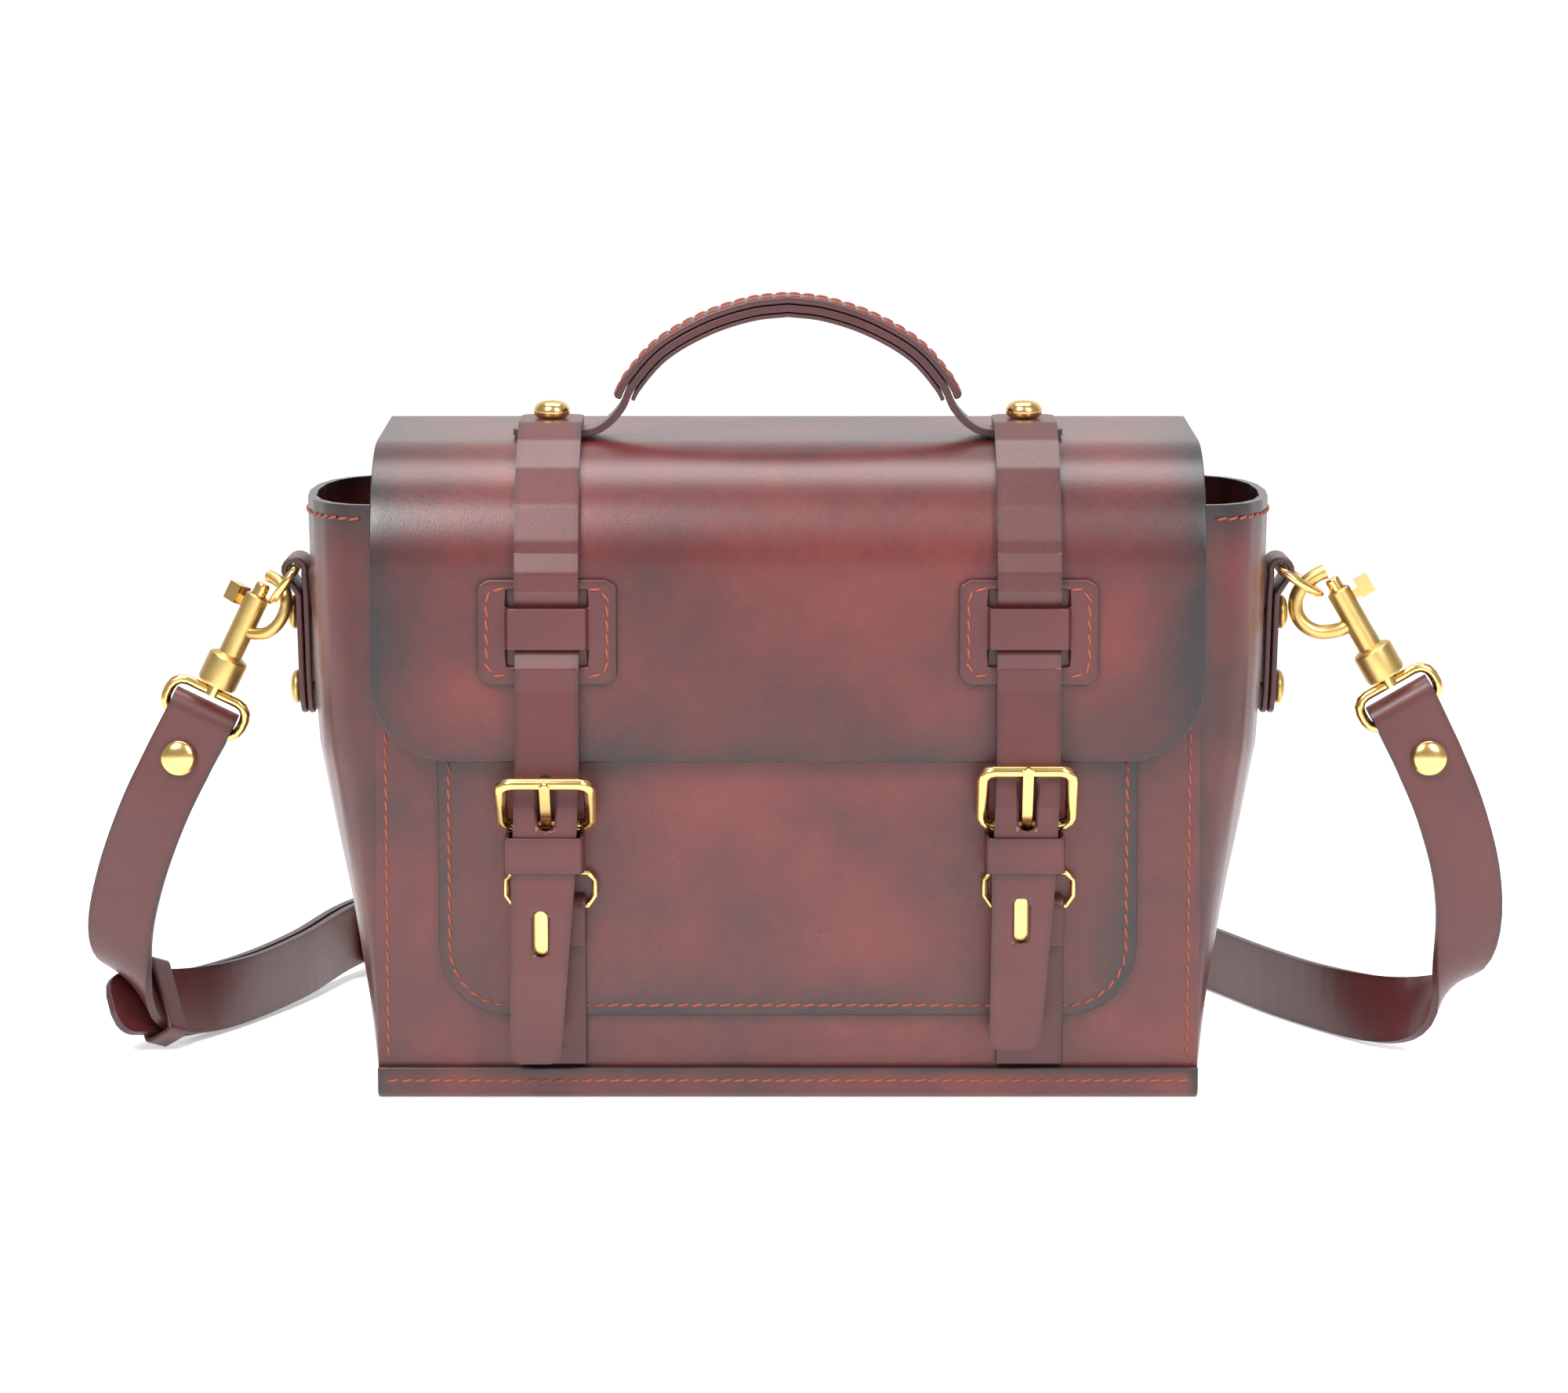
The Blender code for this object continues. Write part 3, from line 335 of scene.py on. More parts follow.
def offset(path, distance):
    """A 2D path moved sideways, to its left when distance is positive."""
    out = []
    for i, point in enumerate(path):
        along = (path[min(i + 1, len(path) - 1)] - path[max(i - 1, 0)]).normalized()
        out.append(point + Vector((-along.y, along.x)) * distance)
    return out


def refined(rows, closed, spacing=4 * MM):
    """The same grid with columns added where they are far apart."""
    ends = list(range(len(rows[0]) + (1 if closed else 0)))
    out = [[] for _ in rows]
    for a, b in zip(ends, ends[1:]):
        b %= len(rows[0])
        widest = max((Vector(row[b]) - Vector(row[a])).length for row in rows)
        parts = max(1, math.ceil(widest / spacing))
        for i, row in enumerate(rows):
            out[i] += [Vector(row[a]).lerp(Vector(row[b]), j / parts) for j in range(parts)]
    if not closed:
        for i, row in enumerate(rows):
            out[i].append(Vector(row[-1]))
    return out


def dense(rows, closed, spacing=4 * MM):
    rows = refined([[Vector(p) for p in row] for row in rows], closed, spacing)
    turned_round = [list(column) for column in zip(*rows)]
    return [list(row) for row in zip(*refined(turned_round, False, spacing))]


def shell(name, rows, thick, mat, closed=False, holes=()):
    """Leather or plate through a grid of points on its middle surface, with rounded cut edges."""
    rows = [[Vector(p) for p in row] for row in rows] if holes else dense(rows, closed)
    wide = len(rows[0])
    faces = []
    for r in range(len(rows) - 1):
        for c in range(wide if closed else wide - 1):
            if (r, c) not in holes:
                after = (c + 1) % wide
                faces.append((r * wide + c, r * wide + after, (r + 1) * wide + after, (r + 1) * wide + c))
    mesh = bpy.data.meshes.new(name)
    mesh.from_pydata([tuple(p) for row in rows for p in row], [], faces)
    mesh.shade_smooth()
    burn = mesh.attributes.new("burn", "FLOAT", "POINT")
    reach = BURN.get(name, BURN["other"])
    for r, row in enumerate(rows):
        for c, point in enumerate(row):
            near = [(rows[0][c] - point).length, (rows[-1][c] - point).length]
            if not closed:
                near += [(row[0] - point).length, (row[-1] - point).length]
            burn.data[r * wide + c].value = math.exp(-min(near) / reach)
    obj = put(bpy.data.objects.new(name, mesh), mat)
    plate = obj.modifiers.new("thickness", "SOLIDIFY")
    plate.thickness = thick
    plate.offset = 0
    plate.use_even_offset = True
    soft = obj.modifiers.new("edges", "BEVEL")
    soft.width = min(EDGE, thick * 0.28)
    soft.segments = 2
    soft.limit_method = "ANGLE"
    soft.angle_limit = math.radians(50)
    return obj


BURN = {"flap": 13 * MM, "front_pocket": 11 * MM, "gusset_left": 10 * MM, "gusset_right": 10 * MM,
        "base_panel": 1.5 * MM, "other": 0.9 * MM}


def finer(centres, sides, spacing=1.2 * MM):
    """The same line with points close together."""
    points, turns = [], []
    for a, b, c, d in zip(centres, centres[1:], sides, sides[1:]):
        parts = max(1, math.ceil((b - a).length / spacing))
        points += [a.lerp(b, i / parts) for i in range(parts)]
        turns += [c.lerp(d, i / parts).normalized() for i in range(parts)]
    return points + [centres[-1]], turns + [sides[-1]]


def ribbon(name, centres, sides, width, thick, mat, ends=(0, 0), across=(-1, -0.8, -0.4, 0, 0.4, 0.8, 1)):
    """A strap along centres; sides are unit width directions, and ends are the radii of its rounded ends."""
    centres, sides = finer(centres, sides)
    rows = []
    length = [0.0]
    for a, b in zip(centres, centres[1:]):
        length.append(length[-1] + (b - a).length)
    for centre, side, s in zip(centres, sides, length):
        half = width(s / length[-1]) / 2 if callable(width) else width / 2
        for near, radius in ((s, ends[0]), (length[-1] - s, ends[1])):
            if radius and near < radius:
                half -= radius - math.sqrt(max(radius * radius - (radius - near) ** 2, 0))
        rows.append([centre + side * half * share for share in across])
    return shell(name, rows, thick, mat)


def upright_ribbon(name, path, x, width, thick, mat, ends=(0, 0), drift=None):
    """A strap whose path lies in a YZ plane and whose width is along X."""
    centres = [Vector((x + (drift(p.y) if drift else 0), p.x, p.y)) for p in path]
    return ribbon(name, centres, [Vector((1, 0, 0))] * len(centres), width, thick, mat, ends)


def slab(name, low, high, mat, collection=None):
    bpy.ops.mesh.primitive_cube_add(size=1)
    obj = bpy.context.object
    obj.name = obj.data.name = name
    size = [b - a for a, b in zip(low, high)]
    middle = [(a + b) / 2 for a, b in zip(low, high)]
    obj.data.transform(Matrix.Translation(middle) @ Matrix.Diagonal((*size, 1)))
    return adopt(obj, mat, collection)


def adopt(obj, mat, collection=None):
    for old in list(obj.users_collection):
        old.objects.unlink(obj)
    if collection:
        collection.objects.link(obj)
        return obj
    return put(obj, mat)


def wire(name, points, radius, mat, cyclic=False, sides=4):
    """Round wire through the points."""
    curve = bpy.data.curves.new(name, "CURVE")
    curve.dimensions = "3D"
    curve.bevel_depth = radius
    curve.bevel_resolution = sides
    curve.use_fill_caps = True
    spline = curve.splines.new("POLY")
    spline.points.add(len(points) - 1)
    for knot, point in zip(spline.points, points):
        knot.co = (*point, 1)
    spline.use_cyclic_u = cyclic
    spline.use_smooth = True
    return put(bpy.data.objects.new(name, curve), mat)


def turned(name, profile, matrix, mat, steps=12, collection=None):
    """A solid of revolution. profile is (radius, height) from its top to its bottom, down the outer side."""
    mesh = bpy.data.meshes.new(name)
    points = [(r, 0, h) for r, h in profile]
    mesh.from_pydata(points, [(i, i + 1) for i in range(len(points) - 1)], [])
    obj = bpy.data.objects.new(name, mesh)
    spin = obj.modifiers.new("turn", "SCREW")
    spin.steps = spin.render_steps = steps * 4
    spin.use_merge_vertices = True
    spin.merge_threshold = 1e-5
    obj.matrix_world = matrix
    if collection:
        collection.objects.link(obj)
        return obj
    return put(obj, mat)


def own(name):
    """This script's piece of that name, and not the frame's."""
    return next(o for o in SATCHEL.objects if o.name.split(".")[0] == name)


def helper(obj):
    obj.hide_render = True
    obj.display_type = "WIRE"
    return obj


def to_mesh(obj):
    """The evaluated curve or turned solid as a welded mesh object in the same place and collections."""
    bpy.context.view_layer.update()
    graph = bpy.context.evaluated_depsgraph_get()
    mesh = bpy.data.meshes.new_from_object(obj.evaluated_get(graph))
    work = bmesh.new()
    work.from_mesh(mesh)
    bmesh.ops.remove_doubles(work, verts=work.verts, dist=1e-6)
    work.to_mesh(mesh)
    work.free()
    made = bpy.data.objects.new(obj.name, mesh)
    made.matrix_world = obj.matrix_world
    for collection in obj.users_collection:
        collection.objects.link(made)
    name = obj.name
    bpy.data.objects.remove(obj)
    made.name = name
    return made


def boolean(target, other, operation="DIFFERENCE"):
    if other.name not in CUTTERS.objects:
        for old in list(other.users_collection):
            old.objects.unlink(other)
        CUTTERS.objects.link(other)
    step = target.modifiers.new(other.name, "BOOLEAN")
    step.operation = operation
    step.object = helper(other)


def drill(name, centre, direction, radius, reach, targets):
    """One round cutter through the targets, along direction and reaching both ways."""
    matrix = Matrix.Translation(centre) @ Vector(direction).to_track_quat("Z", "Y").to_matrix().to_4x4()
    profile = ((0, reach), (radius, reach), (radius, -reach), (0, -reach))
    cutter = helper(turned(name, profile, matrix, None, 12, CUTTERS))
    for target in targets:
        boolean(target, cutter)


def slot_cutter(name, x, z_low, z_high, width, y_low, y_high):
    """A cutter with round ends, along Z, that goes through a strap in Y."""
    radius = width / 2
    outline = []
    for middle, start in ((z_high - radius, 0), (z_low + radius, math.pi)):
        for i in range(7):
            angle = start + math.pi * i / 6
            outline.append((x + radius * math.cos(angle), middle + radius * math.sin(angle)))
    mesh = bpy.data.meshes.new(name)
    work = bmesh.new()
    face = work.faces.new([work.verts.new((px, y_low, pz)) for px, pz in outline])
    wall = bmesh.ops.extrude_face_region(work, geom=[face])
    moved = [v for v in wall["geom"] if isinstance(v, bmesh.types.BMVert)]
    bmesh.ops.translate(work, verts=moved, vec=(0, y_high - y_low, 0))
    bmesh.ops.recalc_face_normals(work, faces=work.faces)
    work.to_mesh(mesh)
    work.free()
    obj = bpy.data.objects.new(name, mesh)
    CUTTERS.objects.link(obj)
    return helper(obj)


def placed(origin, up, side):
    """A matrix whose Z is up and whose X is as near as may be to side."""
    z = Vector(up).normalized()
    x = (Vector(side) - Vector(side).dot(z) * z).normalized()
    frame = Matrix((x, z.cross(x), z)).transposed().to_4x4()
    return Matrix.Translation(origin) @ frame


# Body


def bulge(height):
    """How far the gusset stands out at this height."""
    curve = smooth([(h, b) for h, b in BULGE], 8)
    for a, b in zip(curve, curve[1:]):
        if a.x <= height / MM <= b.x:
            return MM * (a.y + (b.y - a.y) * (height / MM - a.x) / (b.x - a.x))
    return MM * (BULGE[0][1] if height / MM < BULGE[0][0] else BULGE[-1][1])


def gusset_face(side, height):
    """X of the gusset's outer face at mid depth."""
    return side * (BODY_HALF - GUSSET / 2 + bulge(height) + GUSSET / 2)


def build_body():
    middle = BODY_FRONT + GAP + BASE / 2
    profile = filleted([(-middle, FLANGE_TOP), (-middle, BASE / 2), (middle, BASE / 2), (middle, FLANGE_TOP)],
                       (1.6 * MM, 1.6 * MM), 3)
    shell("base_panel", [[(x, p.x, p.y) for p in profile] for x in (-BODY_HALF, BODY_HALF)], BASE, LEATHER)
    for name, outer in (("front_panel", -BODY_FRONT), ("back_panel", BODY_FRONT)):
        inner = outer - math.copysign(PANEL, outer)
        low = (-BODY_HALF, min(outer, inner), BASE + GAP)
        slab(name, low, (BODY_HALF, max(outer, inner), BODY_TOP - 2 * MM), LEATHER)
    depth = BODY_FRONT - PANEL - GAP - GUSSET / 2
    for side, word in SIDES.items():
        rows = []
        for i in range(8):
            height = BASE + GAP + (BODY_TOP - BASE - GAP) * i / 7
            row = [(side * (BODY_HALF - 10 * MM), -depth, height)]
            for j in range(11):
                angle = math.pi * j / 10
                y = -depth * math.copysign(abs(math.cos(angle)) ** 0.8, math.cos(angle))
                x = BODY_HALF - GUSSET / 2 - 0.6 * MM + (bulge(height) + 0.6 * MM) * math.sin(angle) ** 0.8
                row.append((side * x, y, height))
            row.append((side * (BODY_HALF - 10 * MM), depth, height))
            rows.append(row)
        shell(f"gusset_{word}", rows, GUSSET, LEATHER)
    front = BODY_FRONT + GAP
    corner = POCKET_CORNER
    outline = [(POCKET_HALF, POCKET_TOP)]
    for i in range(7):
        angle = -math.pi / 2 * i / 6
        outline.append((POCKET_HALF - corner + corner * math.cos(angle),
                        POCKET_BOTTOM + corner + corner * math.sin(angle)))
    rows = [[(-x, -front - POCKET / 2, z), (x, -front - POCKET / 2, z)] for x, z in outline]
    shell("front_pocket", rows, POCKET, LEATHER)


# Flap and its straps


def flap_path():
    """The middle of the flap's leather in YZ, from its hinge line up, over and down the front."""
    back = BODY_FRONT - PANEL / 2
    corners = [(back, BODY_TOP - 2 * MM + GAP), (back, CROWN_BACK), (-FLAP_FRONT, CROWN_FRONT),
               (-FLAP_FRONT, FLAP_BOTTOM)]
    return filleted(corners, (17 * MM, 32 * MM), 6)


def build_flap():
    path = flap_path()
    bottom = [Vector((-FLAP_FRONT, FLAP_BOTTOM + FLAP_CORNER * (1 - math.sin(math.pi / 2 * i / 6))))
              for i in range(7)]
    rows = []
    for point in path[:-1] + [Vector((-FLAP_FRONT, 130 * MM))] + bottom:
        reach = FLAP_CORNER - (point.y - FLAP_BOTTOM)
        half = FLAP_HALF
        if point.x < 0 and reach > 0:
            half -= FLAP_CORNER - math.sqrt(max(FLAP_CORNER ** 2 - reach ** 2, 0))
        rows.append([(half * t, point.x, point.y) for t in (-1, 1)])
    return shell("flap", rows, FLAP, LEATHER)


def crown_height(y):
    """Outer face of the flap's crown."""
    back = BODY_FRONT - PANEL / 2
    return CROWN_FRONT + (CROWN_BACK - CROWN_FRONT) * (y + FLAP_FRONT) / (back + FLAP_FRONT) + FLAP / 2


def handle_path():
    """Right half of the handle's main strap in XZ, from its foot to the top, then mirrored."""
    foot = crown_height(STUD_Y) + GAP + HANDLE_THICK / 2 + 0.35 * MM
    half = [(79, foot / MM), (66, foot / MM), (57, foot / MM + 0.3), (52, foot / MM + 2.6), (47.6, 196),
            (44.4, 202.4), (36, 211.8), (23.4, 219.1), (10.6, 223.3), (0, 224.6)]
    right = smooth([(x * MM, z * MM) for x, z in half], 3)
    return [Vector((-p.x, p.y)) for p in right][:-1] + right[::-1]


def flat_ribbon(name, path, y, width, thick, mat, ends=(0, 0)):
    """A strap whose path lies in an XZ plane and whose width is along Y."""
    centres = [Vector((p.x, y, p.y)) for p in path]
    return ribbon(name, centres, [Vector((0, 1, 0))] * len(centres), width, thick, mat, ends)


def build_handle():
    path = handle_path()
    strap = flat_ribbon("handle_strap", path, STUD_Y, HANDLE, HANDLE_THICK, STRAP_LEATHER, (6 * MM, 6 * MM))
    arch = [p for p in path if p.y > 197 * MM]
    grip, lining = 2.0 * MM, 1.2 * MM
    above = offset(arch, HANDLE_THICK / 2 + GAP + grip / 2)
    below = offset(arch[1:-1], -(HANDLE_THICK / 2 + GAP + lining / 2))
    flat_ribbon("handle_grip", above, STUD_Y, HANDLE, grip, STRAP_LEATHER)
    flat_ribbon("handle_lining", below, STUD_Y, HANDLE - 1 * MM, lining, STRAP_LEATHER)
    return strap


def build_patch(side, word):
    """The H-shaped keeper: two slots for the strap, and a bridge that bulges over it."""
    x0 = side * STRAP_X
    flat = FLAP_FRONT + FLAP / 2 + GAP + PATCH / 2
    raised = flat + 2.8 * MM
    heights = (PATCH_LOW, PATCH_LOW + 3, SLOTS[0], *BRIDGE, SLOTS[1], PATCH_TOP - 2, PATCH_TOP)
    across = (-19.7, -16.5, -11.4, -10.4, 10.4, 11.4, 16.5, 19.7)
    rows = []
    for z in heights:
        row = []
        for dx in across:
            up = BRIDGE[0] <= z <= BRIDGE[1] and abs(dx) < 11
            corner = abs(dx) > 19 and z in (PATCH_LOW, PATCH_TOP)
            row.append((x0 + (dx * 0.93 if corner else dx) * MM, -(raised if up else flat),
                        (z + (1 if z == PATCH_LOW else -1) * corner) * MM))
        rows.append(row)
    holes = {(r, c) for r in (2, 4) for c in (2, 3, 4)}
    return shell(f"keeper_patch_{word}", rows, PATCH, STRAP_LEATHER, holes=holes)


def strap_path(side):
    """Middle of a closure strap in YZ: crown, over the patch's margin, under its bridge, buckle, tail."""
    crown = crown_height(STUD_Y) / MM + 0.3 + HANDLE_THICK / MM + 0.65 + STRAP_THICK / MM / 2
    face = (FLAP_FRONT + FLAP / 2 + GAP + STRAP_THICK / 2) / MM
    over = face + 2.2
    tip = 12 + RAISE[side] / MM
    points = [(-5, crown + 0.2), (-18, crown), (-28.5, crown - 0.2), (-38, 186.9), (-47.5, 180.2), (-55,
                                                                                                    170.5),
              (-58.9, 161), (-face, 157.5), (-over, 152.2), (-over, 147.1), (-face, 142.7), (-face, 130.2),
              (-over, 125), (-over, 119), (-62.3, 108), (-63, 98), (-63.9, 86), (-64.1, 76), (-64.0, 66),
              (-64.2, 54), (-64.0, 38), (-62.8, 24), (-61.6, tip)]
    corners = [Vector((y, z)) * MM for y, z in points]
    return filleted(corners, [6 * MM] * 6 + [3 * MM, 2 * MM] + [1.2 * MM] * 5 + [5 * MM] * 8, 2)


def tail_drift(z):
    """The straps swing a little towards -X below the buckles."""
    low = max(0.0, (100 * MM - z) / (100 * MM))
    return -4.5 * MM * low ** 1.2


def build_closure(side, word):
    x0 = side * STRAP_X
    path = strap_path(side)

    def width(share):
        return STRAP if share < 0.76 else STRAP * (1 - 0.2 * (share - 0.76) / 0.24)

    strap = upright_ribbon(f"closure_strap_{word}", path, x0, width, STRAP_THICK, STRAP_LEATHER,
                           (5 * MM, 3 * MM), tail_drift)
    hole_x = x0 + tail_drift(88 * MM)
    boolean(strap, slot_cutter(f"hole_{word}", hole_x, 79.2 * MM, 95.5 * MM, 5 * MM, -70 * MM, -57 * MM))
    lift = RAISE[side]
    slot_x = x0 + tail_drift(50 * MM)
    boolean(strap, slot_cutter(f"slot_{word}", slot_x, 43 * MM + lift, 56.5 * MM + lift, 3.9 * MM,
                               -70 * MM, -60.5 * MM))
    return strap


def build_buckle(side, word):
    """Frame, prong, chape and keeper. The frame and its prong turn on the pivot bar."""
    x0 = side * STRAP_X + tail_drift(88 * MM)
    lean = math.radians(TILT[side])
    pivot = Vector((x0, BAR_Y, BAR_Z))
    up = Vector((0, -math.sin(lean), math.cos(lean)))
    front = Vector((0, -math.cos(lean), -math.sin(lean)))
    across = Vector((1, 0, 0))
    corner = 3.2 * MM
    ring = []
    for sx, sz in ((1, 0), (1, 1), (-1, 1), (-1, 0)):
        start = {(1, 0): -90, (1, 1): 0, (-1, 1): 90, (-1, 0): 180}[sx, sz]
        for i in range(4):
            angle = math.radians(start + 30 * i)
            ring.append(pivot + across * (sx * (BUCKLE_HALF - corner) + corner * math.cos(angle))
                        + up * (corner if sz == 0 else BUCKLE_LENGTH - corner) + up * corner * math.sin(angle))
    wire(f"buckle_{word}", ring, BUCKLE_WIRE, BRASS, True)
    turn = BUCKLE_WIRE + 0.85 * MM
    prong = []
    for i in range(9):
        angle = math.radians(250 - 250 * i / 8)
        prong.append(pivot + front * turn * math.cos(angle) - up * turn * math.sin(angle))
    prong.append(pivot + front * turn + up * (BUCKLE_LENGTH + 3 * MM))
    ribbon(f"prong_{word}", prong, [across] * len(prong), 3 * MM, 1.2 * MM, BRASS, (0, 1 * MM))
    loop = BUCKLE_WIRE + GAP + 0.9 * MM
    chape = [Vector((BAR_Y + loop, 70.5 * MM))]
    for i in range(9):
        angle = math.pi * i / 8
        chape.append(Vector((BAR_Y + loop * math.cos(angle), BAR_Z + loop * math.sin(angle))))
    chape.append(Vector((BAR_Y - loop, 70.5 * MM)))
    leather = upright_ribbon(f"buckle_chape_{word}", chape, x0, 17 * MM, 1.8 * MM, STRAP_LEATHER)
    window = slab(f"window_{word}", (x0 - 2.3 * MM, -63.5 * MM, 76.4 * MM), (x0 + 2.3 * MM, -53 * MM,
                                                                             90 * MM),
                  None, CUTTERS)
    boolean(leather, window)
    half = STRAP / 2 + 1.6 * MM
    front_y, back_y = -66.3 * MM, -53.6 * MM
    band = filleted([(0, back_y), (half, back_y), (half, front_y), (-half, front_y), (-half, back_y), (0,
                                                                                                       back_y)],
                    [1.6 * MM] * 4, 3)[:-1]
    keeper_x = side * STRAP_X + tail_drift(72 * MM)
    rows = [[(keeper_x + p.x, p.y, z) for p in band] for z in (67.3 * MM, 77.6 * MM)]
    shell(f"keeper_loop_{word}", rows, 1.4 * MM, STRAP_LEATHER, closed=True)


def build_clasp(side, word):
    """Lower strap from the base, the wire ring on its end, and the flat clasp that hangs from the chape."""
    x0 = side * STRAP_X
    back, front = -53.7, -57.7
    loop = [Vector((back, 56.5))]
    for i in range(7):
        angle = math.pi * i / 6
        loop.append(Vector((-55.7 + 2 * math.cos(angle), 56.5 + 2 * math.sin(angle))))
    path = [(-51.5, 9.6), (-51.5, 16.5), (back, 22.6)] + [tuple(p) for p in loop[1:]] + [(front, 45)]
    path = [Vector(p) * MM for p in path]
    upright_ribbon(f"lower_strap_{word}", path, x0 + 1 * MM, 19 * MM, 1.8 * MM, STRAP_LEATHER)
    x1 = x0 + 0.5 * MM
    outline = [(-10.6, 56.5), (-12.6, 59.5), (-12.6, 64), (-10.5, 66.1), (10.5, 66.1), (12.6, 64), (12.6,
                                                                                                    59.5),
               (10.6, 56.5)]
    ring = [(x1 + x * MM, (-55.7 - 0.06 * (z - 56.5)) * MM, z * MM) for x, z in outline]
    wire(f"clasp_ring_{word}", ring, 0.8 * MM, BRASS, True)
    hook = [Vector(p) * MM for p in ((-58.4, 75), (-58.4, 64), (-60.4, 59.5), (-60.4, 42))]
    upright_ribbon(f"clasp_hook_{word}", filleted(hook, (2 * MM, 2 * MM), 3), x0 + tail_drift(60 * MM),
                   8 * MM,
                   1.3 * MM, BRASS)


def build_top_stud(side, word, straps):
    """Domed screw stud through the closure strap, the handle's foot and the flap, with a plate inside."""
    seat = strap_path(side)[0]
    top = seat.y - 0.2 * MM + STRAP_THICK / 2 + GAP
    inside = crown_height(STUD_Y) - FLAP - GAP - 0.15 * MM - top
    profile = [(r * MM, h * MM) for r, h in STUD]
    profile += [(1.4 * MM, inside), (4 * MM, inside), (4 * MM, inside - 1 * MM), (0, inside - 1 * MM)]
    centre = Vector((side * STRAP_X, STUD_Y, top))
    turned(f"top_stud_{word}", profile, Matrix.Translation(centre), BRASS)
    drill(f"stud_hole_{word}", centre, (0, 0, 1), 1.8 * MM, 30 * MM, straps)


# Side tabs, rings and snap hooks


def build_tab(side, word, gusset):
    """Folded leather tab on the gusset, with the D-ring in its fold and two rivets."""
    radius = 3.0 * MM
    centre = Vector((D_BAR.x, D_BAR.z))
    def clear(height, layer):
        return abs(gusset_face(1, height)) + GAP + 0.35 * MM + TAB / 2 + layer * (TAB + GAP)
    inner = [Vector((clear(z * MM, 0), z * MM)) for z in (105, 112, 119, 126, 133, 140)]
    outer = [Vector((clear(z * MM, 1), z * MM)) for z in (140, 133, 126, 119, 112, 105)]
    fold = []
    for i in range(11):
        angle = math.radians(200 - 230 * i / 10)
        fold.append(centre + radius * Vector((math.cos(angle), math.sin(angle))))
    path = [Vector((side * p.x, p.y)) for p in inner + fold + outer]
    tab = flat_ribbon(f"side_tab_{word}", path, 0, 19 * MM, TAB, STRAP_LEATHER, (4 * MM, 4 * MM))
    for place, z in RIVETS.items():
        x = clear(z, 1) + TAB / 2 + GAP
        inside = abs(gusset_face(1, z)) - GUSSET - 4 * GAP - x
        profile = [(r * MM * 0.95, h * MM * 0.6) for r, h in STUD]
        profile += [(1.4 * MM, inside), (3.5 * MM, inside), (3.5 * MM, inside - 0.8 * MM), (0,
                                                                                            inside - 0.8 * MM)]
        out = Vector((side, 0, 0))
        turned(f"tab_rivet_{word}_{place}", profile, placed(Vector((side * x, 0, z)), out, (0, 1, 0)),
               BRASS, 10)
        drill(f"rivet_hole_{word}_{place}", Vector((side * x, 0, z)), out, 1.8 * MM, 12 * MM, (tab, gusset))


def build_ring(side, word):
    drop = math.radians(D_DROP[side])
    out = Vector((side * math.cos(drop), 0, -math.sin(drop)))
    across = Vector((0, 1, 0))
    bar = Vector((side * D_BAR.x, 0, D_BAR.z))
    half, length = 11.4 * MM, D_LENGTH[side]
    points = [bar - across * half * 0.9, bar + across * half * 0.9, bar + across * half + out * 1.5 * MM]
    for i in range(11):
        angle = math.pi * i / 10
        points.append(bar + out * (4 * MM + (length - 4 * MM) * math.sin(angle)) + across * half * math.cos(angle))
    points.append(bar - across * half + out * 1.5 * MM)
    wire(f"d_ring_{word}", points, 1.3 * MM, BRASS, True)


def hook_frame(side):
    """Collar centre, the barrel's direction and the direction of the hook's mouth."""
    tilt = math.radians(BARREL_TILT[side])
    up = Vector((-side * math.sin(tilt), 0, math.cos(tilt)))
    toward = Vector((-side * math.cos(tilt), 0, -math.sin(tilt)))
    turn = math.radians(HOOK_TURN[side])
    mouth = toward * math.cos(turn) - Vector((0, 1, 0)) * math.sin(turn)
    return COLLAR[side], up, toward, mouth


